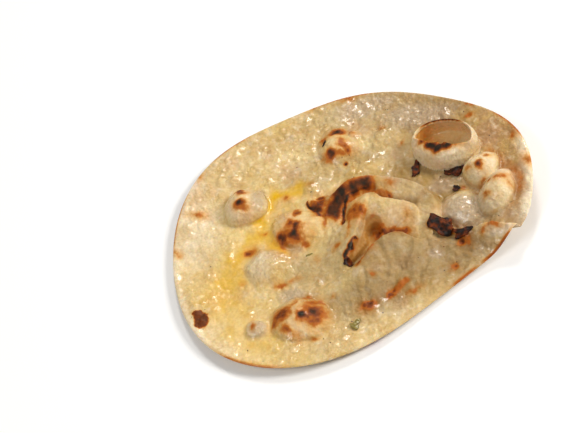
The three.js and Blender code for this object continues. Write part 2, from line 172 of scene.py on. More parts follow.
# Scorched spots on the crust: x, y, two half-lengths, turn in degrees, and how dark they are.
# About 0.4 is golden, 0.6 brown and 0.9 nearly black. A turn of -30 degrees runs level across the picture.
SPOTS = [
    # Blister on the left and the one at the far side
    (-47.5, 38.5, 4, 3, -25, 0.9), (-50.5, 29, 5.2, 5.4, 0, 0.62), (-50, 30, 3.6, 3.8, 0, 0.84),
    (14, 53.5, 6.4, 3.6, -25, 0.88), (6, 52.5, 4, 2.4, 40, 0.5), (6, 42, 4.6, 4, 0, 0.86),
    (15, 43, 3.4, 7, 20, 0.68), (10, 40, 5, 3, -30, 0.6), (4, 39, 3.6, 2.6, -30, 0.42),
    (11.5, 33.5, 1.6, 1.6, 0, 0.85), (22, 49, 2.4, 2, 0, 0.36), (37, 45, 2.6, 2, 0, 0.4),
    (43, 30, 3, 2, 30, 0.36),
    # Burst blister and the ones beside it
    (53.5, 15, 3.4, 2.6, -30, 0.88), (69.5, 2, 6, 2.6, -35, 0.52), (73.5, -14.5, 3, 3, 0, 0.7),
    (69, -11.5, 2.4, 2.4, 0, 0.42), (80, -11, 4, 2.4, -40, 0.42), (80, -30, 4, 3, -20, 0.6),
    (74.5, -28.5, 2, 2, 0, 0.46), (71, -22, 1, 2.6, -50, 0.46), (69, -35, 2.6, 3, 0, 0.42),
    (83, -35.5, 2, 3, 0, 0.34), (71, -36, 2.4, 4.4, 60, 0.36), (62, -17, 2.6, 1.8, 0, 0.44),
    # Right end and its folded edge
    (82, 23.5, 4, 2.3, -25, 0.58), (84.5, 30, 1.2, 1.2, 0, 0.8), (87, 28, 2.4, 2.6, 0, 0.36),
    (97.5, -4.5, 4, 3, -60, 0.42), (98, -24, 3, 6, 0, 0.42), (66, -52, 6.4, 2.8, -30, 0.52),
    (60.5, -51, 2.4, 2.6, 0, 0.42), (52.5, -49, 4, 4.4, 0, 0.46), (48.5, -48, 2.6, 2.8, 0, 0.6),
    # Far side of the torn blister, the strip beside its slit, and its tongue
    (-3, 6.5, 7, 6.5, 35, 0.84), (5, 10, 8.5, 5.5, 20, 0.82), (13, 9.5, 8, 5, -20, 0.82),
    (-4.5, 4, 4, 4, 0, 0.82), (11, 8, 6, 3, -20, 0.84), (2, 10, 4, 3, 30, 0.78),
    (19, 6, 4.6, 4, -30, 0.5), (21.5, 0, 3.8, 3.4, 0, 0.48), (27, 2, 5, 3, -40, 0.34),
    (4.5, -4, 6.5, 7, -20, 0.74), (-0.5, -11, 1.8, 6.8, -20, 0.44), (-3.5, -15, 1.6, 5, -25, 0.38),
    (28.5, -21, 3, 4.4, 0, 0.36), (12.5, -10.5, 2.2, 2, 0, 0.4),
    # Swelling and pinch beside the torn blister
    (-27.5, 3.5, 3.8, 6, -20, 0.9), (-24.5, 13, 3, 3, 0, 0.62), (-36, 1, 4.5, 7.5, -10, 0.74),
    (-34.5, -3.5, 4.5, 4, 0, 0.6), (-27, -7.5, 4, 4.4, 0, 0.55), (-30, 1, 10, 9.5, 0, 0.62),
    (-30, 8, 5, 4, 0, 0.6), (-12, 11.5, 5, 7.4, -20, 0.84), (-9, 17, 3.8, 2.2, -25, 0.7),
    (-11.5, 0, 1.8, 7, -20, 0.56),
    # Blister at the near side
    (-50.5, -46, 6.5, 5.6, 25, 0.74), (-55, -49, 4, 4.4, 20, 0.62), (-51.5, -55.5, 3.6, 5, 10, 0.5),
    (-41, -52, 4, 5, -15, 0.97), (-36, -53, 9, 8.4, 0, 0.72), (-35, -58, 5.5, 4.4, 0, 0.56),
    (-34, -46, 7, 4, -25, 0.46), (-37, -40.5, 6, 2.6, -20, 0.42), (-30.5, -51.5, 3, 5, 0, 0.44),
    (-50, -60.5, 5, 2.2, -30, 0.4), (-41, -65, 4.4, 2, -25, 0.42), (-67, -44, 2, 4, -20, 0.56),
    # Marks on the rest of the sheet
    (-55, 3, 4.2, 3.8, 0, 0.7), (-75, 41, 6, 3.4, -30, 0.46), (-44.5, 11, 3.8, 1.7, -25, 0.36),
    (-25.5, 27, 3.8, 1.9, -35, 0.42), (-11.5, 29.5, 2.4, 2, 0, 0.26), (-11.5, -18.5, 3, 2.6, 0, 0.42),
    (-23.5, -19.5, 3, 2.6, 0, 0.26), (-65, -14, 2.4, 2.6, 0, 0.32), (-23.5, -45.5, 2.6, 2.2, 0, 0.36),
    (1, -43.5, 2.2, 2.2, 0, 0.5), (-46, -25, 4.6, 2.6, -34, 0.58), (-38.5, -26, 4, 1.8, -4, 0.46),
    (16.5, -62, 7, 3.4, -10, 0.42), (-8.5, -60, 4.6, 4.4, 0, 0.86), (39.5, -58.5, 3, 3.4, 0, 0.72),
    (26, 76, 9, 3, -15, 0.4), (10, 79, 8, 2.2, 0, 0.36), (-93, 22, 3, 4, 10, 0.4),
    (-66, 64, 4, 2, 40, 0.38), (70, -24, 3, 2, 0, 0.34), (88, -20, 3, 4, 0, 0.3),
]
# Scorched lines, a few of which also paint shade in grooves and at the foot of blisters: points, reach to
# each side, and how dark they are
SCORCHED_AND_SHADED_LINES = [
    ([(55, 11.5), (57, 8.5), (60.5, 6), (65, 4.5)], 2.6, 0.95),
    ([(14.5, 6), (6.5, 7.5), (1.5, 3.5), (-2, -1), (-3, -5)], 1.1, 0.9),
    ([(-6, 4.5), (0, 9), (8, 10.5), (16, 8.5)], 6.5, 0.84),
    # This line paints the shade in the groove between the tongue and the far crest, over a little char
    ([(15, 5), (20, 1), (25, -4)], 2.4, 0.5),
    ([(0, -20), (-4.5, -23.5), (-8, -27.5), (-9, -30)], 1.2, 0.86),
    # This line darkens the slit's near bank with toasting and painted shade
    ([(6, -29), (3.5, -31), (-2, -33), (-6, -34.5)], 3, 0.64),
    # The tongue's scorched lower edge, which also paints the shade in the groove behind the near lip
    ([(12, -19), (13.5, -20), (16.5, -24), (25.5, -28)], 3.8, 0.6),
    ([(39, -31.5), (43.5, -33), (46, -38.5), (50, -42.5)], 3, 0.95),
    ([(-16.5, 17), (-14.5, 11), (-12.5, 5.5)], 1.5, 0.95),
    ([(4, -59), (9, -56.5), (14, -54)], 2.8, 0.64),
    ([(-57.5, -50), (-54, -46.5), (-49, -45), (-43, -42.5)], 3.6, 0.34),
    ([(-51.5, -50), (-51.5, -56), (-48.5, -61)], 3, 0.3),
    # These two paint a toasted halo and shade at the right foot of the two tall blisters
    ([(83, -5), (86, -11), (86, -19)], 2.4, 0.26),
    ([(87, -22), (90, -29), (87, -38)], 2.6, 0.28),
]
# Toasted stretches of the rim: direction and half-width in degrees, and how dark they are
TOASTED_RIM = [
    (-45, 7, 0.6), (-58, 7, 0.5), (155, 14, 0.42), (120, 10, 0.46), (70, 14, 0.46), (2, 10, 0.46),
    (-140, 14, 0.4),
]
# Where they fade: shares of the half-width, and depth in from the rim
TOASTED_ENDS = (0.4, 1.1)
TOASTED_DEPTH = (0.4, 2.2)
# The burst blister's scorched lip: its middle's turn from the near side in radians, where it fades along
# and across the lip, and how dark it is
SCORCHED_LIP = [(math.pi + 0.3, (0.5, 0.95), (0.01, 0.04), 0.85), (0, (0.1, 0.6), (0.02, 0.11), 0.42)]
# A patch that baked crisp, with a sharp edge
CRISP_PATCH = (-93, -25, 4, 5.4, 15, 0.74)
CRISP_EDGE = (0.85, 1.05)
# How fast marks fade, and how far past its reach a line still shows
SPOT_FALL = 1.2
LINE_REACH = 1.8
# How marks stray and how mottled they are: patches of a size, each with a share. The seeds are for straying
# along X, straying along Y, and mottling.
SCORCH_WANDER = [(5, 2.8), (2, 1.1)]
SCORCH_EVEN = 0.56
SCORCH_MOTTLE = [(3.2, 0.56), (1.3, 0.34)]
SCORCH_SEEDS = (1, 3, 13)

# Where melted butter has run and lies yellow: points, reach, and how much of it there is
BUTTER_RUNS = [
    ([(-19, 29), (-25, 31), (-31, 32), (-37, 28), (-42, 20)], 5, 1),
    ([(-42, 20), (-46, 11), (-55, 9), (-64, 1)], 6, 0.85),
    ([(-42, 12), (-40, 4), (-38, -6)], 5, 0.85),
    ([(-62, 2), (-72, -8), (-78, -18), (-76, -32), (-69, -52)], 12.5, 0.64),
    ([(-40, 24), (-52, 8), (-70, -12), (-74, -34), (-66, -58)], 20, 0.32),
    ([(2, 20), (16, 21), (34, 14), (45, 3), (51, -10), (48, -22)], 6, 0.25),
    ([(44, 4), (48, -8), (49, -18)], 3.5, 0.5),
    ([(-88, 10), (-84, -12), (-80, -28)], 7, 0.3),
]
# How the runs stray: patches of a size, each with a share, and how far past its reach a run still shows
BUTTER_WANDER = [(11, 5), (4, 3)]
BUTTER_SEEDS = (6, 8)
BUTTER_SPREAD = 1.6
# The heights of a blister between which butter runs off it
BUTTER_RUNS_OFF = (0.5, 2.2)
# Where a thicker film of butter glistens, with its greyish reflection painted into the colour: x, y, two
# half-lengths, a turn, and how thick it is
WET_AND_SHEEN_PATCHES = [
    (57, -32, 13, 11, -35, 1), (52, -9, 9, 6, -30, 0.55), (-43, -34, 9, 5, -30, 0.75),
    (34, 64, 20, 8, -10, 0.7), (58, 42, 26, 9, -30, 0.7), (-65, -47, 5, 6, 0, 0.75),
    (-40, 32, 4, 10, -20, 0.75), (-32, -7, 6, 4, -30, 0.75), (66, -55, 8, 4, -37, 0.75),
    (34, -47, 5, 3, -30, 0.7),
]
# Where the dough is painted deeper, as soaked dough and as shade on slopes and in valleys: x, y, two
# half-lengths, a turn, and how deep
SOAKED_AND_SHADED_PATCHES = [
    (30, -50, 50, 20, 0, 0.85), (12, -34, 30, 16, -15, 0.75), (40, 6, 24, 13, -38, 0.85),
    (-8, -28, 26, 26, 0, 0.5), (34, 62, 40, 20, -10, 0.4), (60, 40, 36, 24, -35, 0.6),
    (-2, 34, 26, 14, -20, 0.4), (24, 31, 14, 8, -20, 0.55), (70, -46, 30, 20, 0, 0.2),
    (-40, -45, 20, 18, 0, 0.4), (-24, -26, 24, 14, -20, 0.56), (50, -12, 12, 14, 0, 0.95),
    (-49, -10, 13, 12, -28, 0.22), (-2, -54, 34, 16, -8, 0.85),
]
# Painted shade in lines behind the torn blister's crest, under its tongue and beside the pleat: points,
# reach, depth
PAINTED_SHADE_LINES = [
    ([(8, 24), (20, 20), (33, 11), (43, 2), (49, -9), (50, -20)], 6, 0.5),
    ([(17, 4), (22, -3), (28, -8.5), (36, -15)], 2.4, 1),
    ([(54, -39), (64, -43.5), (73, -50), (84, -58)], 3.4, 0.35),
]
# Patches painted pale as light falling on the sheet, the pleat's flap and a low blister's shaded side: x, y,
# two half-lengths, a turn, and how pale they are
LIT_PALE_PATCHES = [
    (70, -56, 15, 5.5, -37, 0.7), (-82, 28, 18, 36, -15, 0.6), (-80, -46, 22, 22, 30, 0.5),
    (30, 5, 14, 4, -40, 0.4), (-54, -9, 10, 11, -28, 0.8),
]
# Stretches of the rim painted pale as light and highlight: direction and half-width in degrees, and how pale
# they are
LIT_PALE_RIM = [(-20, 18, 1.3), (172, 50, 0.9)]
# The dull sheet with little butter on it: x, y, two half-lengths and a turn
DRY_SHEET = (14, -44, 46, 17, -16)

# Where wet patches with their painted sheen, patches painted pale, soaked and shaded patches, the dull
# sheet, the torn blister and its hole fade, as shares of their half-lengths, and where the rim painted pale
# fades: shares of the half-width, and depth in from the rim
PATCH_EDGE = (0.4, 1.2)
SOAKED_AND_SHADED_EDGE = (0.3, 1.3)
DRY_EDGE = (0.5, 1.2)
TORN_EDGE = (0.9, 1.1)
HOLE_EDGE = (0.75, 1.05)
LIT_PALE_RIM_ENDS = (0.5, 1.1)
LIT_PALE_RIM_DEPTH = (1, 7)
# How dull the torn blister is, and how far from its slit the strip beside it is dull
TORN_DULL = 0.8
STRIP_DULL = (4, 9)

# Heights between which the crust counts as raised, as thin skin, as the pleat's skin and as painted pale
RAISED_RISE = (0.8, 3.5)
SKIN_RISE = (1, 4)
PLEAT_RISE = (2, 5)
PALE_RISE = (2.2, 6)
# How pale a blister is painted, for its creamy skin and as the light on it, and how much of that a wet film
# takes away
DOME_PALE = 0.6
WET_PALE = 0.9

# The right end is painted darker, as baked dough and as shade where it curls up from the light: where that
# begins and is whole, how much, and patches of a size and a share
BAKED_AND_SHADED_END = (15, 95)
BAKED_AND_SHADED_END_SHARE = 0.75
BAKED_MOTTLE = [(17, 0.3)]
BAKED_SEED = 10
# How much thin skin lessens the baked look and the soaked look, each with its painted shade, and how deep
# wet patches are painted
SKIN_BAKED = 0.85
SKIN_SOAKED = 0.8
WET_SOAKED = 0.3

# How far the burst blister's outside counts as thin skin, how scorched, baked and buttered its inside is,
# and how far in from the lip the scorching and the butter of the inside start
CUP_SKIN = 0.8
CUP_SCORCH = 0.1
CUP_BAKED = 0.1
CUP_BUTTER = 0.1
CUP_SCORCH_START = 0.05
CUP_BUTTER_START = 0.03
# Its inside is painted with an amber glow, as of light through its thin skin: the fade in from the lip, the
# two ends' places along the bread, and how much
CUP_PAINTED_GLOW_FADE = 0.12
CUP_PAINTED_GLOW_ENDS = (52, 68)
CUP_PAINTED_GLOW = (0.95, 0.3)

# How much the fine relief gains or loses on each ground, what is left of it in the burst blister,
# and how far in from the rim it is whole
RAISED_RELIEF = -0.55
DRY_RELIEF = 0.2
BUTTER_RELIEF = -0.75
HOLE_RELIEF = -0.5
WET_RELIEF = 0.5
CUP_RELIEF = 0.35
RELIEF_RIM = 5

# Fine relief of the crust, named as the inputs of its nodes: sizes and heights in millimetres, and the seed
RELIEF_SIZES = {
    "Lump Size": 11, "Lump Height": 1.9, "Pebble Size": 3.6, "Pebble Height": 0.6,
    "Bubble Size": 8.5, "Bubble Height": 0.8, "Wrinkle Size": 2.8, "Wrinkle Height": 0.6,
}
RELIEF_SEED = 7
# How detailed lumps and wrinkles are, and the chance from which on pebbles and bubbles grow
ROUGH_DETAILS = {"Lump": 1.0, "Wrinkle": 2.0}
GROWN_FROM = {"Pebble": 0.0, "Bubble": 0.35}
GROWN_WHOLE = 0.85
# Pebbles and bubbles are cells: where their edge falls off, and how softly they meet
CELL_EDGE = (0.6, 0.1)
CELL_SOFTNESS = 0.6

# The underside: browned patches' size, the chance values at which they show and how dark they are,
# and how far it is baked and soaked. Its relief begins where it leaves the floor.
UNDER_PATCHES = 13
UNDER_SHOWN = (0.62, 0.95)
UNDER_SCORCH = 0.62
UNDER_SEED = 11
UNDER_BAKED = 0.4
UNDER_SOAKED = 0.3
UNDER_RELIEF = 0.12
UNDER_LIFT = (0.3, 1.5)

# Burnt scraps lying on the crust: x, y, half-length, half-width, turn in degrees, and seed
BURNT_SCRAPS = [
    (61.5, -4, 5.4, 3.6, -28, 3), (64, -5, 3.4, 2.6, -10, 4), (44.5, 9.5, 4.6, 2.2, 57, 5),
    (43, 6, 2.2, 1.4, 20, 6), (58.5, -15.5, 2.1, 1.6, -30, 7), (42.5, -34, 8, 4.4, -52, 8),
    (51, -44, 4.6, 2.6, -20, 9), (-9, -30.5, 2.4, 2.1, 0, 11), (5, 50, 1.9, 0.6, 45, 13),
]
# Bits of herb: x, y, half-length, half-width, turn and seed
HERB_BITS = [
    (-26.5, -15, 1.9, 0.5, 0, 21), (-19, -68.5, 2.6, 1.5, -50, 22), (-17, -66.5, 2.2, 1.1, 20, 23),
]

# Scraps: rings and sides, how ragged and lobed their edge is, waves along and across, and roughness
SCRAP_RINGS = 5
SCRAP_SIDES = 22
SCRAP_RAGGED = 0.28
SCRAP_LOBES = (2, 3, 5)
SCRAP_LOBE = 0.1
SCRAP_WAVES = (2.1, 2.4)
SCRAP_PHASES = 6
SCRAP_ROUGH = 0.15
# How far a scrap's low side follows its waves, and how deep it sinks into the crust
SCRAP_FOLLOW = 0.75
SCRAP_SINK = 0.15
# Curl and thickness of burnt scraps and of herb bits
BURNT_BODY = (0.5, 0.5)
HERB_BODY = (0.35, 0.6)

# Burnt flecks: how many, their radius, their least and greatest stretch, and where the crust is rough enough
FLECK_COUNT = 46
FLECK_RADIUS = 0.34
FLECK_STRETCH = ((0.5, 0.5, 0.35), (2.0, 1.1, 0.7))
FLECK_GROUND = 0.6
FLECK_SEED = 5

# The camera: its height over the bread, roll and turn in degrees, distance and aim in metres, and lens
CAMERA_ELEVATION = 52
CAMERA_ROLL = 24
CAMERA_TURN = 2.25
CAMERA_DISTANCE = 0.8
AIM_HEIGHT = 0.003
CAMERA_LENS = 93.3
SENSOR_WIDTH = 36

# Lamps: name, place and size in metres, power in watts, and colour. Then the sky and the floor.
LAMPS = [
    ("key", (1.15, -0.32, 0.88), 0.4, 16, (1.0, 0.98, 0.95)),
    ("gloss", (0.4, 0.82, 1.1), 0.3, 7, (1.0, 0.98, 0.95)),
    ("fill", (-0.9, -0.4, 1.3), 0.6, 8, (1.0, 0.99, 0.97)),
]
SKY_COLOUR = (1.0, 0.98, 0.95, 1.0)
SKY_STRENGTH = 0.26
FLOOR_REACH = 3000


def srgb(red, green, blue):
    """A colour of 0 to 255 in sRGB, in linear light."""

    def linear(value):
        value /= 255
        return value / 12.92 if value <= 0.04045 else ((value + 0.055) / 1.055) ** 2.4

    return linear(red), linear(green), linear(blue), 1.0


# Colours. Those of the ramp each have the scorching at which they are full, and the tint and grain multiply.
DOUGH_PALE = srgb(235, 214, 162)
DOUGH_TAN = srgb(212, 177, 110)
# The deep colour paints shade as well as soaked dough
DOUGH_DEEP_AND_SHADED = srgb(138, 107, 60)
# The baked colour paints the shade of the right end as well as its browning
DOUGH_BAKED_AND_SHADED = srgb(172, 128, 88)
# The cream colour paints light on blisters, the rim and pale patches, as well as creamy skin and meal
DOUGH_CREAM = srgb(242, 228, 203)
DOUGH_ROSY = srgb(214, 173, 136)
DOUGH_YELLOW = srgb(217, 186, 110)
# The wet colour paints the greyish reflection of a wet film
DOUGH_WET_SHEEN = srgb(194, 175, 157)
DOUGH_GRAIN = (0.64, 0.56, 0.4, 1.0)
CRUMB_BROWN = srgb(170, 121, 56)
# The amber colour paints light glowing through the burst blister's thin skin
PAINTED_GLOW_AMBER = srgb(230, 174, 84)
BUTTER_YELLOW = srgb(228, 182, 6)
SCORCH_TINT = (0.9, 0.56, 0.2, 1.0)
SCORCH_RAMP = [
    (0.5, srgb(172, 92, 18)),
    (0.66, srgb(124, 54, 8)),
    (0.82, srgb(72, 30, 7)),
    (0.97, srgb(26, 14, 8)),
]
HERB_GREEN = srgb(122, 108, 38)
HERB_VEIN = srgb(150, 132, 58)
FLOOR_WHITE = srgb(251, 251, 251)

# Kinds of node socket
FLOAT = "NodeSocketFloat"
COLOUR = "NodeSocketColor"
GEOMETRY = "NodeSocketGeometry"
WHOLE = "NodeSocketInt"

# Plain values of each surface
DOUGH_SURFACE = {
    "Specular IOR Level": 0.36, "Specular Tint": (1.0, 0.84, 0.6, 1.0),
    "Coat Roughness": 0.14, "Coat Tint": (1.0, 0.96, 0.86, 1.0),
    "Subsurface Weight": 0.6, "Subsurface Radius": (1.0, 0.65, 0.35), "Subsurface Scale": 0.001,
}
BURNT_SURFACE = {"Specular IOR Level": 0.25}
HERB_SURFACE = {"Roughness": 0.35, "Coat Weight": 0.5}
FLOOR_SURFACE = {"Base Color": FLOOR_WHITE, "Roughness": 0.75}

# How detailed patches of colour and fine grain are
PATCH_DETAIL = 3.0
FINE_DETAIL = 4.0
# Patches in the dough and in its film of butter: their size in millimetres, and the noise at which they show
CLOUDS = (11, 0.36, 0.66)
FRECKLES = (3.2, 0.4, 0.7)
MEAL = (4.6, 0.5, 0.7)
GRAIN = (1.5, 0.3, 0.7)
FILM = (9, 0.35, 0.65)
# Rosy and yellow tints: the size of their patches, the noise at which each shows, and its share
TINTS = 17
ROSY_SHOWN = (0.52, 0.7)
YELLOW_SHOWN = (0.48, 0.3)
ROSY_SHARE = 0.5
YELLOW_SHARE = 0.4
# Shares of the other colours
CLOUD_SHARE = 0.55
FRECKLE_SHARE = 0.35
MEAL_SHARE = 0.4
GRAIN_SHARE = 0.3
BAKED_AND_SHADED_SHARE = 0.9
SOAKED_AND_SHADED_SHARE = 0.82
WET_SHEEN_SHARE = 0.75
# What clouds leave of the cream, and what is left of the butter without them
CLOUDED_CREAM = 0.6
CLEAR_BUTTER = 0.75
# The film's share over plain dough and over yellow butter, and where scorching dries it to a remnant
FILM_SHARE = 0.85
BUTTER_FILM = 0.6
SCORCH_DRIES = (0.2, 0.7)
DRIED_FILM = 0.15
# Roughness, coat and strength of the fine bumps, each without the film and under it
CRUST_ROUGHNESS = (0.48, 0.18)
CRUST_COAT = (0.02, 0.7)
CRUST_BUMPS = (1.0, 1.5)
# The fine bumps' size and height, the amount of butter that evens them out, and what it leaves of them
BUMP_SIZE = 2.8
BUMP_HEIGHT = 0.9
BUTTER_EVENS = 0.6
EVENED_BUMPS = 0.25

# Scorched colour: where its tint is full, where its first brown begins, and how its grain breaks the edges
SCORCH_TINTED = 0.4
SCORCH_FIRST = 0.24
SCORCH_GRAIN = 1.6
SCORCH_UNEVEN = 0.6
SCORCH_TOP = 1.15
# Flakes of burnt scraps: size, the noise at which they show and how scorched they then are,
# how scorched they are where they turn glossy, their roughness, and their bumps' strength and height
FLAKES = 2.8
FLAKES_SHOWN = (0.3, 0.72)
FLAKES_SCORCH = (1.0, 0.66)
FLAKES_GLOSSY = (0.66, 0.99)
FLAKES_ROUGHNESS = (0.6, 0.42)
FLAKE_BUMPS = 0.7
FLAKE_HEIGHT = 0.6
# Veins of herb: size, and the noise at which they show
VEINS = 0.7
VEINS_SHOWN = (0.35, 0.65)


def smoothstep(value, low, high):
    share = np.clip((value - low) / (high - low), 0, 1)
    return share * share * (3 - 2 * share)


def mix(low, high, share):
    return low + (high - low) * share


def patchy(x, y, size, seed):
    """Smooth chance values between 0 and 1 over the sheet, in patches of a size."""
    knots = np.random.default_rng(seed).random((PATCH_KNOTS, PATCH_KNOTS))
    u, v = x / size + PATCH_START, y / size + PATCH_START
    i, j = np.floor(u).astype(int), np.floor(v).astype(int)
    s, t = smoothstep(u - i, 0, 1), smoothstep(v - j, 0, 1)

    def corner(a, b):
        return knots[(i + a) % PATCH_KNOTS, (j + b) % PATCH_KNOTS]

    return mix(mix(corner(0, 0), corner(1, 0), s), mix(corner(0, 1), corner(1, 1), s), t)


def mottled(x, y, patches, seed, middle=0):
    """Chance values from patches of a size and a share, each with the next seed and less a middle value."""
    return sum(share * (patchy(x, y, size, seed + i) - middle) for i, (size, share) in enumerate(patches))


def smooth_line(points):
    """A smooth line through (x, y, height) or level (x, y) points, as a row of short steps."""
    given = np.array([(*point, 0)[:3] for point in points], float)
    padded = np.vstack([2 * given[0] - given[1], given, 2 * given[-1] - given[-2]])
    place = np.linspace(0, len(given) - 1, CURVE_STEPS + 1)
    i = np.minimum(place.astype(int), len(given) - 2)
    t = (place - i)[:, None]
    a, b, c, d = padded[i], padded[i + 1], padded[i + 2], padded[i + 3]
    return 0.5 * (2 * b + (c - a) * t + (2 * a - 5 * b + 4 * c - d) * t**2 + (3 * b - a - 3 * c + d) * t**3)


def nearest(points, x, y, reach):
    """For places within reach of a line: how far away it is, whether they lie on its left, how far along
    and how high the line is there, and the direction to its left."""
    steps = smooth_line(points)
    away = np.full(x.shape, FAR_AWAY)
    on_left = np.zeros(x.shape, bool)
    along, height, left_x, left_y = (np.zeros(x.shape) for _ in range(4))
    low, high = steps.min(0) - reach, steps.max(0) + reach
    close = np.flatnonzero((x > low[0]) & (x < high[0]) & (y > low[1]) & (y < high[1]))
    if not len(close):
        return away, on_left, along, height, left_x, left_y
    start, run = steps[:-1], np.diff(steps, axis=0)
    length = np.hypot(run[:, 0], run[:, 1])
    dx, dy = x[close, None] - start[:, 0], y[close, None] - start[:, 1]
    share = np.clip((dx * run[:, 0] + dy * run[:, 1]) / length**2, 0, 1)
    gap_x, gap_y = dx - share * run[:, 0], dy - share * run[:, 1]
    best = np.hypot(gap_x, gap_y).argmin(1)
    row = np.arange(len(close))
    near_x, near_y, near_share = gap_x[row, best], gap_y[row, best], share[row, best]
    away[close] = np.hypot(near_x, near_y)
    on_left[close] = run[best, 0] * near_y - run[best, 1] * near_x > 0
    along[close] = (best + near_share) / len(run)
    height[close] = mix(steps[best, 2], steps[best + 1, 2], near_share)
    left_x[close] = -run[best, 1] / length[best]
    left_y[close] = run[best, 0] / length[best]
    return away, on_left, along, height, left_x, left_y


def ridge_at(ridge, x, y):
    """A ridge's height over the sheet, and how far its crest leans."""
    points, left, right, lean = ridge
    away, on_left, along, height, left_x, left_y = nearest(points, x, y, max(left, right))
    profile = 1 - smoothstep(away / np.where(on_left, left, right), 0, 1)
    tilt = lean * profile**2 * np.sin(np.pi * along)
    return height * profile, left_x * tilt, left_y * tilt


def oval_place(form, x, y):
    """Where places lie in an oval: 0 in its middle and 1 at its foot, and their direction round it."""
    turn = math.radians(form[4])
    dx, dy = x - form[0], y - form[1]
    p = (dx * math.cos(turn) + dy * math.sin(turn)) / form[2]
    q = (dy * math.cos(turn) - dx * math.sin(turn)) / form[3]
    return np.hypot(p, q), np.arctan2(q, p)


def line_fade(points, x, y, reach):
    """1 on a line, falling softly to almost nothing past its reach."""
    return np.exp(-SPOT_FALL * (nearest(points, x, y, reach * LINE_REACH)[0] / reach) ** 2)


def oval_fade(form, x, y, edge):
    """1 in an oval, falling to 0 across its edge."""
    return 1 - smoothstep(oval_place(form, x, y)[0], *edge)


def dome_height(form, x, y, phase):
    share, around = oval_place(form, x, y)
    reach = share / (1 + sum(size * np.cos(lobes * around + phase) for lobes, size in BLISTER_WOBBLES))
    return form[5] * np.clip(1 - reach**2, 0, 1) ** form[6]


def blister_height(x, y):
    """The height of the closed blisters over the sheet."""
    domes = [dome_height(blister, x, y, i * BLISTER_PHASE) for i, blister in enumerate(BLISTERS)]
    return np.max(domes, axis=0)


def edge_radius(angle):
    oval = 1 / np.hypot(np.cos(angle) / (LENGTH / 2), np.sin(angle) / (WIDTH / 2))
    waves = sum(size * np.cos(lobes * (angle - math.radians(peak))) for lobes, size, peak in OUTLINE_WAVES)
    direction, spread, size = FLAP
    swing = 2 - 2 * np.cos(angle - math.radians(direction))
    return oval + waves + size * np.exp(-swing / math.radians(spread) ** 2)


def underside(x, y):
    spread = (x / (LENGTH / 2)) ** 2 + (y / (WIDTH / 2)) ** 2
    dish = DISH_RISE * (np.clip(spread - FLAT_SHARE, 0, None) / (1 - FLAT_SHARE)) ** 2
    tip = TIP_RISE * (np.clip(x - TIP_START, 0, None) / (LENGTH / 2 - TIP_START)) ** 2
    return dish + tip + ridge_at(PLEAT, x, y)[0]


def sheet_at(x, y):
    """The sheet's thickness, how much of it the rounded edge leaves, and how far in from the edge it is."""
    radius = edge_radius(np.arctan2(y, x))
    share = np.minimum(1, np.hypot(x, y) / radius)
    inward = (1 - share) * radius
    thickness = mix(THICKNESS, EDGE_THICKNESS, share**4)
    rounded = np.sqrt(1 - (1 - np.minimum(1, inward / EDGE_ROUND)) ** 2)
    return thickness, rounded, inward


def sheet_top(x, y):
    thickness, rounded, inward = sheet_at(x, y)
    phase_x, phase_y = HOLLOW_PHASES
    hollows = sum(
        size * np.sin(2 * np.pi * x / along_x + phase_x) * np.sin(2 * np.pi * y / along_y + phase_y)
        for along_x, along_y, size in HOLLOWS
    )
    return underside(x, y) + thickness * (1 + rounded) / 2 + hollows * smoothstep(inward, 0, RELIEF_FADE)


def burst_points(share, around):
    """Places inside the burst blister's foot become its outer skin, then its inner skin, then its floor."""
    facing = np.clip(np.cos(around - math.radians(BURST_NEAR)), 0, None)
    lobes, size = BURST_NOTCHES
    notch = size * np.sin(lobes * around) * smoothstep(facing, 0, BURST_NOTCH_RISE)
    spread = (1 / BURST_LIP) ** BURST_ROUNDING + (facing / BURST_ARCH) ** BURST_ROUNDING
    lip = np.arccos((notch + spread ** (-1 / BURST_ROUNDING)) ** (1 / BURST_SIDE))
    arch = BURST_HEIGHT / np.sin(lip) ** BURST_SIDE
    outside = share > BURST_LIP_SHARE
    up = np.clip((1 - share) / (1 - BURST_LIP_SHARE), 0, 1)
    down = np.clip((BURST_LIP_SHARE - share) / (BURST_LIP_SHARE - BURST_FLOOR_SHARE), 0, 1)
    rise = lip * np.where(outside, up, 1 - down)
    skin = np.where(outside, 0, BURST_SKIN * np.minimum(1, down / BURST_SKIN_START))
    inner = np.where(outside, 1, np.minimum(1, share / BURST_FLOOR_SHARE))
    reach = (1 - skin / BURST[3]) * np.cos(rise) ** BURST_SIDE * inner
    height = (arch - skin) * np.sin(rise) ** BURST_SIDE
    turn = math.radians(BURST[4])
    p, q = reach * np.cos(around) * BURST[2], reach * np.sin(around) * BURST[3]
    x = BURST[0] + p * math.cos(turn) - q * math.sin(turn)
    y = BURST[1] + p * math.sin(turn) + q * math.cos(turn)
    return np.stack([x, y, sheet_top(x, y) + height], 1)


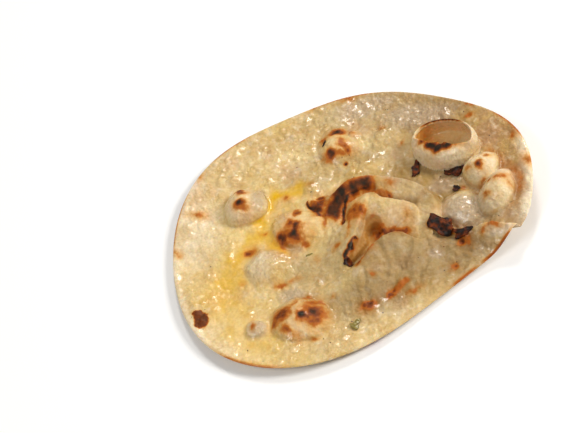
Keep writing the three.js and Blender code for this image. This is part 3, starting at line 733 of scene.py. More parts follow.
def crust_points(x, y):
    """The upper side of the bread over places of the sheet, with the burst blister left out."""
    thickness, _, inward = sheet_at(x, y)
    fade = smoothstep(inward, 0, RELIEF_FADE)
    relief = blister_height(x, y)
    lean_x, lean_y = np.zeros(x.shape), np.zeros(x.shape)
    for ridge in RIDGES:
        height, shift_x, shift_y = ridge_at(ridge, x, y)
        relief = np.maximum(relief, height)
        lean_x, lean_y = lean_x + shift_x, lean_y + shift_y
    relief += dome_height(SWELL, x, y, 0)
    for points, reach, depth in CREASES + [(CRACK, CRACK_REACH, CRACK_DEPTH)]:
        relief -= depth * (1 - smoothstep(nearest(points, x, y, reach)[0], 0, reach))
    away, _, along, _, _, _ = nearest(SLIT, x, y, SLIT_WIDE)
    reach = mix(SLIT_WIDE, SLIT_NARROW, along)
    relief = mix(SLIT_FLOOR - thickness, relief, smoothstep(away, reach - SLIT_BANK, reach))
    return np.stack([x + lean_x * fade, y + lean_y * fade, sheet_top(x, y) + relief * fade], 1)


def top_points(x, y):
    """The upper side of the bread over places of the sheet."""
    points = crust_points(x, y)
    share, around = oval_place(BURST, x, y)
    cup = share < 1
    points[cup] = burst_points(share[cup], around[cup])
    return points


def under_points(x, y):
    thickness, rounded, _ = sheet_at(x, y)
    return np.stack([x, y, underside(x, y) + thickness * (1 - rounded) / 2], 1)


def ring(share, count):
    turn = np.arange(count) / count
    radius = share * edge_radius(2 * np.pi * turn)
    return np.stack([radius * np.cos(2 * np.pi * turn), radius * np.sin(2 * np.pi * turn), turn], 1)


def zip_rings(outer, inner, outer_first):
    """Triangles between a ring and the next one inside it, whose places are numbered on from the ring's."""
    faces = []
    outer_turns, inner_turns = outer[:, 2].tolist(), inner[:, 2].tolist()
    outer_count, inner_count = len(outer), len(inner)
    inner_first = outer_first + outer_count
    i = j = 0
    while i < outer_count or j < inner_count:
        a, b = outer_first + i % outer_count, inner_first + j % inner_count
        next_outer = outer_turns[i + 1] if i + 1 < outer_count else 1
        next_inner = inner_turns[j + 1] if j + 1 < inner_count else 1
        if j == inner_count or (i < outer_count and next_outer <= next_inner):
            i += 1
            faces.append((a, outer_first + i % outer_count, b))
        else:
            j += 1
            faces.append((a, inner_first + j % inner_count, b))
    return faces


def disc(edge_rings, step):
    """Places and triangles of a disc: the rim, rings close inside it, then rings a step apart."""
    open_radius = MEAN_RADIUS - edge_rings[-1]
    count = round(open_radius / step)
    rings = [ring(1 - inward / MEAN_RADIUS, RIM_COUNT) for inward in [0] + edge_rings]
    for k in range(count - 1, 0, -1):
        radius = open_radius * k / count
        rings.append(ring(radius / MEAN_RADIUS, max(FEWEST_SIDES, round(2 * math.pi * radius / step))))
    faces, first = [], 0
    for outer, inner in zip(rings, rings[1:]):
        faces += zip_rings(outer, inner, first)
        first += len(outer)
    last = len(rings[-1])
    faces += [(first + i, first + (i + 1) % last, first + last) for i in range(last)]
    return np.vstack([each[:, :2] for each in rings] + [[(0, 0)]]), np.array(faces)


def refine(places, faces):
    """Halves the edges whose ends stand far apart on the crust, leaving the rim as it is."""
    sides = np.sort(faces[:, [0, 1, 1, 2, 2, 0]].reshape(-1, 2), axis=1)
    edges, side_edge = np.unique(sides, axis=0, return_inverse=True)
    points = top_points(places[:, 0], places[:, 1])
    long = np.linalg.norm(points[edges[:, 0]] - points[edges[:, 1]], axis=1) > LONGEST_EDGE
    long &= edges[:, 1] >= RIM_COUNT
    halves = np.full(len(edges), -1)
    halves[long] = len(places) + np.arange(long.sum())
    places = np.vstack([places, places[edges[long]].mean(1)])
    half = halves[side_edge.reshape(-1, 3)]
    cut = half >= 0
    cuts = cut.sum(1)
    kept = [faces[cuts == 0]]
    whole, mids = faces[cuts == 3], half[cuts == 3]
    for corners in zip(whole.T, mids.T, np.roll(mids, 1, 1).T):
        kept.append(np.stack(corners, 1))
    kept.append(mids)
    for k in range(3):
        order = [k, (k + 1) % 3, (k + 2) % 3]
        one = (cuts == 1) & cut[:, k]
        (a, b, c), m = faces[one][:, order].T, half[one, k]
        kept += [np.stack([a, m, c], 1), np.stack([m, b, c], 1)]
        two = (cuts == 2) & ~cut[:, k]
        (a, b, c), m, n = faces[two][:, order].T, half[two, order[1]], half[two, order[2]]
        kept += [np.stack([a, b, m], 1), np.stack([a, m, n], 1), np.stack([m, c, n], 1)]
    return places, np.vstack(kept)


def meet_lip(places, faces):
    """Moves places onto the burst blister's lip, so that no triangle reaches across it."""
    edges = np.unique(np.sort(faces[:, [0, 1, 1, 2, 2, 0]].reshape(-1, 2), axis=1), axis=0)
    past = oval_place(BURST, *places.T)[0] - BURST_LIP_SHARE
    edges = edges[past[edges[:, 0]] * past[edges[:, 1]] < 0]
    swap = np.abs(past[edges[:, 0]]) > np.abs(past[edges[:, 1]])
    edges[swap] = edges[swap][:, ::-1]
    near, far = edges.T
    share = past[near] / (past[near] - past[far])
    moved = places.copy()
    moved[near] = mix(places[near], places[far], share[:, None])
    return moved


class UpperSide:
    """The upper side of the bread over places x, y of the sheet, and what its finish is made from."""

    def __init__(self, x, y):
        self.x, self.y = x, y
        self.points = top_points(x, y)
        self.inward = sheet_at(x, y)[2]
        self.cup, self.around_cup = oval_place(BURST, x, y)
        self.dome = blister_height(x, y)
        self.raised = smoothstep(self.points[:, 2] - sheet_top(*self.points[:, :2].T), *RAISED_RISE)
        self.hole = self.find_hole()
        self.dry = self.find_dry()
        self.wet = self.deepest(WET_AND_SHEEN_PATCHES, PATCH_EDGE)
        self.skin = self.find_skin()
        self.butter = self.find_butter()

    def strayed(self, patches, seeds):
        """The points' x and y, each moved a little by chance."""
        moves = [mottled(self.x, self.y, patches, seed, 0.5) for seed in seeds]
        return self.points[:, 0] + moves[0], self.points[:, 1] + moves[1]

    def deepest(self, patches, edge):
        """The greatest value of oval patches, each fading across its edge."""
        return np.max([patch[5] * oval_fade(patch, self.x, self.y, edge) for patch in patches], axis=0)

    def rim(self, direction, half_width, ends, depth):
        """1 along a stretch of the rim, falling to 0 past its ends and over a depth in from the rim."""
        swing = np.angle(np.exp(1j * (np.arctan2(self.y, self.x) - math.radians(direction))))
        stretch = 1 - smoothstep(np.abs(np.degrees(swing)) / half_width, *ends)
        return stretch * (1 - smoothstep(self.inward, *depth))

    def find_hole(self):
        """1 in the hole of the slit, where bare crumb shows."""
        away, _, along, _, _, _ = nearest(HOLE, *self.points[:, :2].T, HOLE_WIDE)
        return 1 - smoothstep(away / mix(HOLE_WIDE, HOLE_NARROW, along), *HOLE_EDGE)

    def find_dry(self):
        """How dull the crust is for want of butter, from 0 to 1."""
        strip = 1 - smoothstep(nearest(SLIT_STRIP[0], self.x, self.y, STRIP_DULL[1])[0], *STRIP_DULL)
        torn = TORN_DULL * self.raised * oval_fade(SWELL, self.x, self.y, TORN_EDGE)
        return np.max([oval_fade(DRY_SHEET, self.x, self.y, DRY_EDGE), self.hole, strip, torn], axis=0)

    def find_skin(self):
        """How far the crust is the thin skin of a blister or of the pleat, from 0 to 1."""
        wall = (self.cup < 1) & (self.cup > BURST_LIP_SHARE)
        skin = np.where(wall, CUP_SKIN, smoothstep(self.dome, *SKIN_RISE))
        return np.maximum(skin, smoothstep(ridge_at(PLEAT, self.x, self.y)[0], *PLEAT_RISE))

    def find_butter(self):
        """How much yellow butter lies on the crust, from 0 to 1."""
        across, along = self.strayed(BUTTER_WANDER, BUTTER_SEEDS)
        runs = []
        for line, reach, amount in BUTTER_RUNS:
            away = nearest(line, across, along, reach * BUTTER_SPREAD)[0]
            runs.append(amount * (1 - smoothstep(away / reach, 0, BUTTER_SPREAD)))
        return np.max(runs, axis=0) * (1 - smoothstep(self.dome, *BUTTER_RUNS_OFF))

    def scorch(self):
        """How scorched the crust is, from 0 to 1, where a few lines also paint shade."""
        across, along = self.strayed(SCORCH_WANDER, SCORCH_SEEDS[:2])
        marks = [spot[5] * np.exp(-SPOT_FALL * oval_place(spot, across, along)[0] ** 2) for spot in SPOTS]
        marks += [dark * line_fade(line, across, along, reach) for line, reach, dark in SCORCHED_AND_SHADED_LINES]
        mottle = SCORCH_EVEN + mottled(self.x, self.y, SCORCH_MOTTLE, SCORCH_SEEDS[2])
        scorch = np.max(marks, axis=0) * mottle
        scorch[self.cup < BURST_LIP_SHARE - CUP_SCORCH_START] *= CUP_SCORCH
        plain = [CRISP_PATCH[5] * oval_fade(CRISP_PATCH, across, along, CRISP_EDGE)]
        for direction, half_width, dark in TOASTED_RIM:
            plain.append(dark * self.rim(direction, half_width, TOASTED_ENDS, TOASTED_DEPTH))
        swing = self.around_cup - math.radians(BURST_NEAR)
        past_lip = np.abs(self.cup - BURST_LIP_SHARE)
        for turn, along_lip, across_lip, dark in SCORCHED_LIP:
            stretch = smoothstep(np.cos(swing - turn), *along_lip)
            plain.append(dark * stretch * (1 - smoothstep(past_lip, *across_lip)))
        return np.max([scorch, *plain], axis=0)

    def relief(self):
        """How strongly the fine relief stands out: least near the rim and under butter."""
        relief = np.where(self.cup < 1, CUP_RELIEF, 1) * smoothstep(self.inward, 0, RELIEF_RIM)
        relief = relief * (1 + RAISED_RELIEF * self.raised) * (1 + DRY_RELIEF * self.dry)
        relief = relief * (1 + BUTTER_RELIEF * self.butter) * (1 + HOLE_RELIEF * self.hole)
        return relief * (1 + WET_RELIEF * self.wet)

    def bake_and_shade(self):
        """How far the dough is painted baked and shaded, more to the right end and less on thin skin."""
        bake_and_shade = BAKED_AND_SHADED_END_SHARE * smoothstep(self.x, *BAKED_AND_SHADED_END)
        bake_and_shade += mottled(self.x, self.y, BAKED_MOTTLE, BAKED_SEED)
        return np.where(self.cup < BURST_LIP_SHARE, CUP_BAKED, bake_and_shade * (1 - SKIN_BAKED * self.skin))

    def pale(self):
        """How pale the dough is painted, as creamy skin and as light: on blisters, in patches and along the
        rim.
        """
        dome = np.where(self.cup < 1, 1, smoothstep(self.dome, *PALE_RISE))
        shares = [DOME_PALE * dome * (1 - WET_PALE * self.wet), self.deepest(LIT_PALE_PATCHES, PATCH_EDGE)]
        for direction, half_width, amount in LIT_PALE_RIM:
            shares.append(amount * self.rim(direction, half_width, LIT_PALE_RIM_ENDS, LIT_PALE_RIM_DEPTH))
        return np.max(shares, axis=0)

    def soaked_and_shaded(self):
        """How deep the dough is painted, as soaked dough and as shade, least on thin skin and not at all in
        the burst blister.
        """
        lines = [depth * line_fade(line, self.x, self.y, reach) for line, reach, depth in PAINTED_SHADE_LINES]
        soaked_and_shaded = np.max([self.deepest(SOAKED_AND_SHADED_PATCHES, SOAKED_AND_SHADED_EDGE), *lines], axis=0)
        soaked_and_shaded = np.maximum(soaked_and_shaded * (1 - SKIN_SOAKED * self.skin), WET_SOAKED * self.wet)
        return np.where(self.cup < 1, 0, soaked_and_shaded)

    def painted_glow(self):
        """How strong the painted amber glow, as of light through the skin, is inside the burst blister."""
        inside = 1 - smoothstep(self.cup, BURST_LIP_SHARE - CUP_PAINTED_GLOW_FADE, BURST_LIP_SHARE)
        return inside * mix(*CUP_PAINTED_GLOW, smoothstep(self.points[:, 0], *CUP_PAINTED_GLOW_ENDS))

    def values(self):
        """What the crust's material and relief read, by name."""
        inside = self.cup < BURST_LIP_SHARE - CUP_BUTTER_START
        return {
            "scorch": self.scorch(), "butter": np.where(inside, CUP_BUTTER, self.butter), "dry": self.dry,
            "bake_and_shade": self.bake_and_shade(), "soaked_and_shaded": self.soaked_and_shaded(), "relief": self.relief(), "wet": self.wet,
            "crumb": self.hole, "painted_glow": self.painted_glow(), "pale": self.pale(),
        }


def under_values(x, y):
    """The same values for the underside, which is plain and faintly browned."""
    none = np.zeros(len(x))
    browned = smoothstep(patchy(x, y, UNDER_PATCHES, UNDER_SEED), *UNDER_SHOWN)
    relief = UNDER_RELIEF * smoothstep(underside(x, y), *UNDER_LIFT)
    return {
        "scorch": UNDER_SCORCH * browned, "butter": none, "dry": none + 1, "bake_and_shade": none + UNDER_BAKED,
        "soaked_and_shaded": none + UNDER_SOAKED, "relief": relief, "wet": none, "crumb": none, "painted_glow": none,
        "pale": none,
    }


def link_object(name, data):
    made = bpy.data.objects.new(name, data)
    bpy.context.scene.collection.objects.link(made)
    return made


def mesh_object(name, points, faces, attributes=None):
    """An object from points in millimetres, with a value for each point under each attribute's name."""
    mesh = bpy.data.meshes.new(name)
    mesh.vertices.add(len(points))
    mesh.vertices.foreach_set("co", (np.asarray(points) * MM).ravel())
    faces = np.asarray(faces)
    mesh.loops.add(faces.size)
    mesh.loops.foreach_set("vertex_index", faces.ravel())
    mesh.polygons.add(len(faces))
    mesh.polygons.foreach_set("loop_start", np.arange(len(faces)) * 3)
    mesh.update(calc_edges=True)
    mesh.validate()
    for key, values in (attributes or {}).items():
        layer = mesh.attributes.new(key, "FLOAT", "POINT")
        layer.data.foreach_set("value", np.asarray(values, np.float32))
    mesh.shade_smooth()
    return link_object(name, mesh)


class Nodes:
    """A node tree, with short ways to add nodes to it."""

    def __init__(self, tree):
        self.tree = tree

    def feed(self, socket, value):
        if isinstance(value, bpy.types.NodeSocket):
            self.tree.links.new(value, socket)
        else:
            socket.default_value = value

    def add(self, kind, inputs=None, **settings):
        node = self.tree.nodes.new(kind)
        for key, value in settings.items():
            setattr(node, key, value)
        for key, value in (inputs or {}).items():
            self.feed(node.inputs[key], value)
        return node

    def math(self, operation, *values):
        node = self.add("ShaderNodeMath", operation=operation)
        for socket, value in zip(node.inputs, values):
            self.feed(socket, value)
        return node.outputs[0]

    def span(self, value, low, high, to_low=0.0, to_high=1.0, linear=False):
        """The value, carried from one range to another, smoothly or in a straight line."""
        ends = {"Value": value, "From Min": low, "From Max": high, "To Min": to_low, "To Max": to_high}
        way = "LINEAR" if linear else "SMOOTHSTEP"
        return self.add("ShaderNodeMapRange", ends, interpolation_type=way).outputs[0]

    def noise(self, vector, size, detail=2.0):
        """Noise from 0 to 1 in patches of a size in metres, or of a socket's size."""
        given = {"Vector": vector, "Scale": self.math("DIVIDE", 1.0, size), "Detail": detail}
        return self.add("ShaderNodeTexNoise", given).outputs["Fac"]

    def patches(self, vector, size, low, high, share=1.0):
        """Patches of a size in millimetres that show between two values of noise, up to a share."""
        return self.span(self.noise(vector, size * MM, PATCH_DETAIL), low, high, 0.0, share)

    def place(self):
        return self.add("ShaderNodeTexCoord").outputs["Object"]

    def value(self, name):
        return self.add("ShaderNodeAttribute", attribute_name=name).outputs["Fac"]

    def bump(self, surface, height, strength, distance):
        """Bumps on a surface, with a distance in millimetres."""
        given = {"Height": height, "Strength": strength, "Distance": distance * MM}
        self.feed(surface.inputs["Normal"], self.add("ShaderNodeBump", given).outputs[0])

    def blend(self, share, low, high, blend_type="MIX"):
        node = self.add("ShaderNodeMix", data_type="RGBA", blend_type=blend_type)
        self.feed(node.inputs[0], share)
        self.feed(node.inputs[6], low)
        self.feed(node.inputs[7], high)
        return node.outputs[2]


def new_group(kind, name, inputs, outputs):
    """A node group with named inputs, each a socket type with a default value, and named outputs."""
    tree = bpy.data.node_groups.new(name, kind)
    for key, (socket_type, value) in inputs.items():
        socket = tree.interface.new_socket(key, in_out="INPUT", socket_type=socket_type)
        if value is not None:
            socket.default_value = value
    for key, socket_type in outputs.items():
        tree.interface.new_socket(key, in_out="OUTPUT", socket_type=socket_type)
    nodes = Nodes(tree)
    return tree, nodes, nodes.add("NodeGroupInput").outputs, nodes.add("NodeGroupOutput").inputs


def run_nodes(target, tree, values):
    """Runs a Geometry Nodes tree on an object and returns the plain mesh that it makes."""
    modifier = target.modifiers.new(tree.name, "NODES")
    modifier.node_group = tree
    for item in tree.interface.items_tree:
        if item.in_out == "INPUT" and item.name in values:
            modifier[item.identifier] = values[item.name]
    target.update_tag()
    depsgraph = bpy.context.evaluated_depsgraph_get()
    mesh = bpy.data.meshes.new_from_object(target.evaluated_get(depsgraph), depsgraph=depsgraph)
    target.modifiers.remove(modifier)
    return mesh


def end_tree(nodes, geometry, material, made):
    """Ends a Geometry Nodes tree: instances are made real and the material is set."""
    real = nodes.add("GeometryNodeRealizeInstances", {"Geometry": geometry})
    painted = nodes.add("GeometryNodeSetMaterial", {"Geometry": real.outputs[0], "Material": material})
    nodes.feed(made["Geometry"], painted.outputs[0])


def relief_value(nodes):
    given = {"Name": "relief"}
    return nodes.add("GeometryNodeInputNamedAttribute", given, data_type="FLOAT").outputs[0]


def relief_tree(material):
    """Small lumps, pebbles, bubbles and wrinkles of baked dough, raised by the crust's relief value."""
    inputs = {"Geometry": (GEOMETRY, None), "Seed": (WHOLE, 1)}
    inputs.update({key: (FLOAT, size * MM) for key, size in RELIEF_SIZES.items()})
    tree, nodes, given, made = new_group("GeometryNodeTree", "dough relief", inputs, {"Geometry": GEOMETRY})
    offset = nodes.add("ShaderNodeCombineXYZ", {"X": given["Seed"], "Y": given["Seed"]}).outputs[0]
    place = nodes.add("GeometryNodeInputPosition").outputs[0]
    spot = nodes.add("ShaderNodeVectorMath", {0: place, 1: offset}, operation="ADD").outputs[0]
    heights = []
    for name, detail in ROUGH_DETAILS.items():
        rough = nodes.math("SUBTRACT", nodes.noise(spot, given[f"{name} Size"], detail), 0.5)
        heights.append(nodes.math("MULTIPLY", rough, given[f"{name} Height"]))
    for name, rare in GROWN_FROM.items():
        scale = nodes.math("DIVIDE", 1.0, given[f"{name} Size"])
        ways = {"Vector": spot, "Scale": scale, "Smoothness": CELL_SOFTNESS}
        cells = nodes.add("ShaderNodeTexVoronoi", ways, feature="SMOOTH_F1").outputs
        chance = nodes.add("FunctionNodeSeparateColor", {"Color": cells["Color"]}).outputs[0]
        mound = nodes.span(cells["Distance"], *CELL_EDGE)
        grown = nodes.math("MULTIPLY", mound, nodes.span(chance, rare, GROWN_WHOLE))
        heights.append(nodes.math("MULTIPLY", grown, given[f"{name} Height"]))
    total = heights[0]
    for height in heights[1:]:
        total = nodes.math("ADD", total, height)
    normal = nodes.add("GeometryNodeInputNormal").outputs[0]
    rise = {0: normal, "Scale": nodes.math("MULTIPLY", total, relief_value(nodes))}
    move = nodes.add("ShaderNodeVectorMath", rise, operation="SCALE").outputs[0]
    moved = nodes.add("GeometryNodeSetPosition", {"Geometry": given["Geometry"], "Offset": move})
    end_tree(nodes, moved.outputs[0], material, made)
    return tree


def fleck_tree(material):
    """Tiny burnt flecks strewn over the crust, in a chance order fixed by the seed."""
    inputs = {
        "Geometry": (GEOMETRY, None), "Flecks Per Area": (FLOAT, 1.0), "Fleck Radius": (FLOAT, 0.001),
        "Seed": (WHOLE, 1),
    }
    tree, nodes, given, made = new_group("GeometryNodeTree", "burnt flecks", inputs, {"Geometry": GEOMETRY})
    seed = given["Seed"]
    rough = nodes.math("GREATER_THAN", relief_value(nodes), FLECK_GROUND)
    strewn = nodes.add("GeometryNodeDistributePointsOnFaces", {
        "Mesh": given["Geometry"], "Selection": rough, "Density": given["Flecks Per Area"],
        "Seed": seed}).outputs
    grain = nodes.add("GeometryNodeMeshIcoSphere", {"Radius": given["Fleck Radius"], "Subdivisions": 1})
    least, most = FLECK_STRETCH
    size = nodes.add("FunctionNodeRandomValue", {0: least, 1: most, "Seed": seed}, data_type="FLOAT_VECTOR")
    turn = nodes.add("FunctionNodeRandomValue", {2: 0.0, 3: math.tau, "Seed": seed}, data_type="FLOAT")
    spin = nodes.add("ShaderNodeCombineXYZ", {"Z": turn.outputs[1]}).outputs[0]
    turned = {0: strewn["Rotation"], 1: spin}
    facing = nodes.add("FunctionNodeRotateRotation", turned, rotation_space="LOCAL").outputs[0]
    flecks = nodes.add("GeometryNodeInstanceOnPoints", {
        "Points": strewn["Points"], "Instance": grain.outputs["Mesh"], "Rotation": facing,
        "Scale": size.outputs[0]})
    end_tree(nodes, flecks.outputs[0], material, made)
    return tree


def scorch_group():
    """Colours a surface by how scorched it is, with an uneven edge to each colour."""
    inputs = {"Plain Colour": (COLOUR, (1, 1, 1, 1)), "Scorch": (FLOAT, 0.0)}
    outputs = {"Colour": COLOUR, "Scorch": FLOAT}
    tree, nodes, given, made = new_group("ShaderNodeTree", "scorch", inputs, outputs)
    grain = nodes.math("SUBTRACT", nodes.noise(nodes.place(), SCORCH_GRAIN * MM, FINE_DETAIL), 0.5)
    edge = nodes.math("MULTIPLY", given["Scorch"], nodes.math("SUBTRACT", SCORCH_TOP, given["Scorch"]))
    uneven = nodes.math("MULTIPLY", nodes.math("MULTIPLY", grain, edge), SCORCH_UNEVEN)
    scorch = nodes.math("ADD", given["Scorch"], uneven)
    tinted = nodes.span(scorch, 0.0, SCORCH_TINTED, linear=True)
    colour = nodes.blend(tinted, given["Plain Colour"], SCORCH_TINT, "MULTIPLY")
    below = SCORCH_FIRST
    for level, burnt in SCORCH_RAMP:
        colour = nodes.blend(nodes.span(scorch, below, level), colour, burnt)
        below = level
    nodes.feed(made["Colour"], colour)
    nodes.feed(made["Scorch"], scorch)
    return tree


def new_material(name, plain):
    """A material, its nodes, and its surface with plain values set."""
    material = bpy.data.materials.new(name)
    material.use_nodes = True
    nodes = Nodes(material.node_tree)
    surface = material.node_tree.nodes["Principled BSDF"]
    for key, value in plain.items():
        surface.inputs[key].default_value = value
    return material, nodes, surface


def dough_colour(nodes, place):
    """The dough's colour before it is scorched: each finish laid over the ones before it, some of them
    painted light and shade.
    """
    cloud = nodes.patches(place, *CLOUDS)
    freckle = nodes.patches(place, *FRECKLES, FRECKLE_SHARE)
    tint = nodes.noise(place, TINTS * MM)
    creamy = nodes.math("MULTIPLY", nodes.value("pale"), nodes.span(cloud, 0.0, 1.0, 1.0, CLOUDED_CREAM))
    pooled = nodes.math("MULTIPLY", nodes.value("butter"), nodes.span(cloud, 0.0, 1.0, CLEAR_BUTTER, 1.0))
    finishes = [
        (nodes.math("ADD", nodes.math("MULTIPLY", cloud, CLOUD_SHARE), freckle), DOUGH_TAN),
        # Baked colour, with painted shade toward the right end
        (nodes.math("MULTIPLY", nodes.value("bake_and_shade"), BAKED_AND_SHADED_SHARE), DOUGH_BAKED_AND_SHADED),
        (nodes.span(tint, *ROSY_SHOWN, 0.0, ROSY_SHARE), DOUGH_ROSY),
        (nodes.span(tint, *YELLOW_SHOWN, 0.0, YELLOW_SHARE), DOUGH_YELLOW),
        # Cream, partly painted light
        (nodes.math("MAXIMUM", creamy, nodes.patches(place, *MEAL, MEAL_SHARE)), DOUGH_CREAM),
        (pooled, BUTTER_YELLOW),
        # Deep colour, partly painted shade
        (nodes.math("MULTIPLY", nodes.value("soaked_and_shaded"), SOAKED_AND_SHADED_SHARE), DOUGH_DEEP_AND_SHADED),
        # Painted greyish reflection of the wet film
        (nodes.math("MULTIPLY", nodes.value("wet"), WET_SHEEN_SHARE), DOUGH_WET_SHEEN),
    ]
    dough = DOUGH_PALE
    for share, colour in finishes:
        dough = nodes.blend(share, dough, colour)
    dough = nodes.blend(nodes.patches(place, *GRAIN, GRAIN_SHARE), dough, DOUGH_GRAIN, "MULTIPLY")
    dough = nodes.blend(nodes.value("crumb"), dough, CRUMB_BROWN)
    # Painted glow inside the burst blister
    return nodes.blend(nodes.value("painted_glow"), dough, PAINTED_GLOW_AMBER)


def butter_film(nodes, place, scorch):
    """How thick the shiny film of butter is: uneven, thickest on wet patches, and dried by scorching."""
    buttered = nodes.math("SUBTRACT", 1.0, nodes.value("dry"))
    film = nodes.math("MULTIPLY", nodes.patches(place, *FILM, FILM_SHARE), buttered)
    film = nodes.math("MAXIMUM", film, nodes.math("MULTIPLY", nodes.value("butter"), BUTTER_FILM))
    film = nodes.math("MAXIMUM", film, nodes.value("wet"))
    return nodes.math("MULTIPLY", film, nodes.span(scorch, *SCORCH_DRIES, 1.0, DRIED_FILM))


def crust_material(scorch):
    """Pale, uneven dough with a buttery film, browned and blackened where it was scorched, with some light
    and shade painted in.
    """
    material, nodes, surface = new_material("baked dough", DOUGH_SURFACE)
    place = nodes.place()
    given = {"Plain Colour": dough_colour(nodes, place), "Scorch": nodes.value("scorch")}
    burnt = nodes.add("ShaderNodeGroup", given, node_tree=scorch).outputs
    film = butter_film(nodes, place, burnt["Scorch"])
    nodes.feed(surface.inputs["Base Color"], burnt["Colour"])
    nodes.feed(surface.inputs["Roughness"], nodes.span(film, 0.0, 1.0, *CRUST_ROUGHNESS))
    nodes.feed(surface.inputs["Coat Weight"], nodes.span(film, 0.0, 1.0, *CRUST_COAT))
    fine = nodes.noise(place, BUMP_SIZE * MM, FINE_DETAIL)
    fine = nodes.math("MULTIPLY", fine, nodes.span(film, 0.0, 1.0, *CRUST_BUMPS))
    evened = nodes.span(nodes.value("butter"), 0.0, BUTTER_EVENS, 1.0, EVENED_BUMPS)
    nodes.bump(surface, nodes.math("MULTIPLY", fine, evened), 1.0, BUMP_HEIGHT)
    return material


def burnt_material(scorch):
    """Brittle, nearly black scraps with a little gloss."""
    material, nodes, surface = new_material("burnt scraps", BURNT_SURFACE)
    noise = nodes.noise(nodes.place(), FLAKES * MM, FINE_DETAIL)
    flaky = nodes.span(noise, *FLAKES_SHOWN, *FLAKES_SCORCH)
    burnt = nodes.add("ShaderNodeGroup", {"Scorch": flaky}, node_tree=scorch).outputs
    nodes.feed(surface.inputs["Base Color"], burnt["Colour"])
    nodes.feed(surface.inputs["Roughness"], nodes.span(flaky, *FLAKES_GLOSSY, *FLAKES_ROUGHNESS))
    nodes.bump(surface, flaky, FLAKE_BUMPS, FLAKE_HEIGHT)
    return material


def herb_material():
    """Cooked green leaf, shiny with butter."""
    material, nodes, surface = new_material("herb", HERB_SURFACE)
    vein = nodes.span(nodes.noise(nodes.place(), VEINS * MM), *VEINS_SHOWN)
    nodes.feed(surface.inputs["Base Color"], nodes.blend(vein, HERB_GREEN, HERB_VEIN))
    return material


def scrap_points(x, y, half_length, half_width, turn, seed, curl, thickness):
    """A ragged, curled scrap lying on the crust: its points and triangles."""
    chance = np.random.default_rng(seed)
    angle = np.arange(SCRAP_SIDES) * 2 * np.pi / SCRAP_SIDES
    ragged = 1 + SCRAP_RAGGED * (chance.random(SCRAP_SIDES) - 0.5)
    for lobes in SCRAP_LOBES:
        ragged += SCRAP_LOBE * np.cos(lobes * angle + chance.random() * SCRAP_PHASES)
    share = np.repeat(np.linspace(1, 1 / SCRAP_RINGS, SCRAP_RINGS), SCRAP_SIDES)
    spread = share * np.tile(ragged, SCRAP_RINGS)
    flat_x = np.append(spread * np.tile(np.cos(angle), SCRAP_RINGS) * half_length, 0)
    flat_y = np.append(spread * np.tile(np.sin(angle), SCRAP_RINGS) * half_width, 0)
    swing = math.radians(turn)
    at_x = x + flat_x * math.cos(swing) - flat_y * math.sin(swing)
    at_y = y + flat_x * math.sin(swing) + flat_y * math.cos(swing)
    ground = crust_points(at_x, at_y)[:, 2]
    size = min(half_length, half_width)
    wave_x = np.sin(flat_x / size * SCRAP_WAVES[0] + chance.random() * SCRAP_PHASES)
    wave_y = np.cos(flat_y / size * SCRAP_WAVES[1] + chance.random() * SCRAP_PHASES)
    rise = curl * size * (1 + wave_x * wave_y) / 2 + SCRAP_ROUGH * size * chance.random(len(at_x))
    top = np.stack([at_x, at_y, ground + thickness + rise], 1)
    low = np.stack([at_x, at_y, ground + rise * SCRAP_FOLLOW - SCRAP_SINK], 1)
    faces = []
    for k in range(SCRAP_RINGS - 1):
        for i in range(SCRAP_SIDES):
            a, b = k * SCRAP_SIDES + i, k * SCRAP_SIDES + (i + 1) % SCRAP_SIDES
            faces += [(a, b, a + SCRAP_SIDES), (b, b + SCRAP_SIDES, a + SCRAP_SIDES)]
    last, middle = (SCRAP_RINGS - 1) * SCRAP_SIDES, SCRAP_RINGS * SCRAP_SIDES
    faces += [(last + i, last + (i + 1) % SCRAP_SIDES, middle) for i in range(SCRAP_SIDES)]
    under = len(top)
    faces += [(under + a, under + c, under + b) for a, b, c in faces]
    for i in range(SCRAP_SIDES):
        a, b = i, (i + 1) % SCRAP_SIDES
        faces += [(a, under + a, b), (b, under + a, under + b)]
    return np.vstack([top, low]), np.array(faces)


def scrap_object(name, scraps, curl, thickness, material, shift):
    points, faces, count = [], [], 0
    for scrap in scraps:
        made, joined = scrap_points(*scrap, curl, thickness)
        points.append(made)
        faces.append(joined + count)
        count += len(made)
    piece = mesh_object(name, np.vstack(points) + shift, np.vstack(faces))
    piece.data.materials.append(material)
    return piece


def crust_object(material):
    """The whole bread as one closed mesh with its values, and how it was moved to stand on the floor."""
    places, faces = disc(TOP_EDGE_RINGS, TOP_STEP)
    for _ in range(REFINING_PASSES):
        places, faces = refine(places, faces)
    upper = UpperSide(*meet_lip(places, faces).T)
    under_places, under_faces = disc(UNDER_EDGE_RINGS, UNDER_STEP)
    under_faces = np.where(under_faces < RIM_COUNT, under_faces, under_faces + len(places) - RIM_COUNT)
    under_x, under_y = under_places[RIM_COUNT:].T
    points = np.vstack([upper.points, under_points(under_x, under_y)])
    low, high = points.min(0), points.max(0)
    shift = np.array([-(low[0] + high[0]) / 2, -(low[1] + high[1]) / 2, -low[2]])
    under = under_values(under_x, under_y)
    values = {key: np.append(value, under[key]) for key, value in upper.values().items()}
    made = mesh_object("roti_crust", points + shift, np.vstack([faces, under_faces[:, ::-1]]), values)
    made.data.materials.append(material)
    return made, shift


def add_light(name, place, size, power, colour):
    """A lamp that shines at the bread."""
    light = bpy.data.lights.new(name, "AREA")
    light.size = size
    light.energy = power
    light.color = colour
    made = link_object(name, light)
    made.location = place
    made.rotation_euler = Vector(place).to_track_quat("Z", "Y").to_euler()


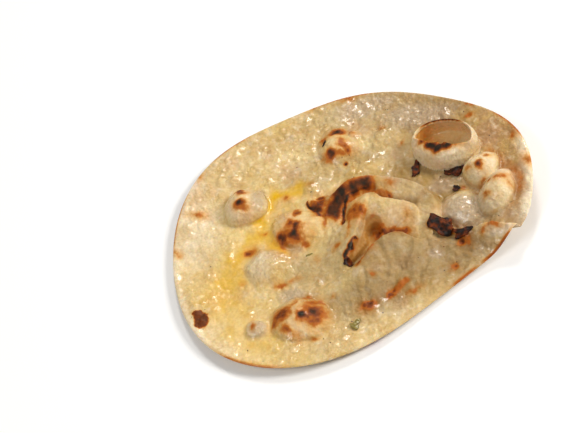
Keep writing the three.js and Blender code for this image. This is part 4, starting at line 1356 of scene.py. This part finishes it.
def add_floor():
    material, _, _ = new_material("pale floor", FLOOR_SURFACE)
    reach = FLOOR_REACH
    corners = [(-reach, -reach, 0), (reach, -reach, 0), (reach, reach, 0), (-reach, reach, 0)]
    floor = mesh_object("floor", corners, [(0, 1, 2), (0, 2, 3)])
    floor.data.materials.append(material)


def add_camera():
    """A camera above the bread's near side, rolled so that its long axis climbs to the right."""
    elevation, roll, turn = (math.radians(angle) for angle in (CAMERA_ELEVATION, CAMERA_ROLL, CAMERA_TURN))
    back = Vector((0, -math.cos(elevation), math.sin(elevation)))
    upright = Vector((0, math.sin(elevation), math.cos(elevation)))
    level = Vector((1, 0, 0))
    right = math.cos(roll) * level - math.sin(roll) * upright
    up = math.sin(roll) * level + math.cos(roll) * upright
    turned_back = math.cos(turn) * back + math.sin(turn) * right
    turned_right = up.cross(turned_back)
    lens = bpy.data.cameras.new("camera")
    lens.lens = CAMERA_LENS
    lens.sensor_width = SENSOR_WIDTH
    camera = link_object("camera", lens)
    place = Matrix((turned_right, up, turned_back)).transposed().to_4x4()
    place.translation = back * CAMERA_DISTANCE + Vector((0, 0, AIM_HEIGHT))
    camera.matrix_world = place
    bpy.context.scene.camera = camera


def add_world():
    world = bpy.data.worlds.new("studio")
    world.use_nodes = True
    sky = world.node_tree.nodes["Background"]
    sky.inputs["Color"].default_value = SKY_COLOUR
    sky.inputs["Strength"].default_value = SKY_STRENGTH
    bpy.context.scene.world = world


scorch_nodes = scorch_group()
dough = crust_material(scorch_nodes)
burnt = burnt_material(scorch_nodes)
herb = herb_material()

crust, shift = crust_object(dough)
smooth_mesh = crust.data
crust.data = run_nodes(crust, relief_tree(dough), {"Seed": RELIEF_SEED})
bpy.data.meshes.remove(smooth_mesh)
crust.data.shade_smooth()

bread_area = math.pi * (LENGTH / 2 * MM) * (WIDTH / 2 * MM)
density = FLECK_COUNT / bread_area
strewing = {"Flecks Per Area": density, "Fleck Radius": FLECK_RADIUS * MM, "Seed": FLECK_SEED}
flecks = link_object("burnt_flecks", run_nodes(crust, fleck_tree(burnt), strewing))

scraps = scrap_object("burnt_scraps", BURNT_SCRAPS, *BURNT_BODY, burnt, shift)
herbs = scrap_object("herb_bits", HERB_BITS, *HERB_BODY, herb, shift)

for piece in (crust, flecks, scraps, herbs):
    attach(piece, "root")
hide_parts("roti")

add_floor()
add_world()
for lamp in LAMPS:
    add_light(*lamp)
add_camera()
bpy.context.scene.view_settings.view_transform = "Standard"
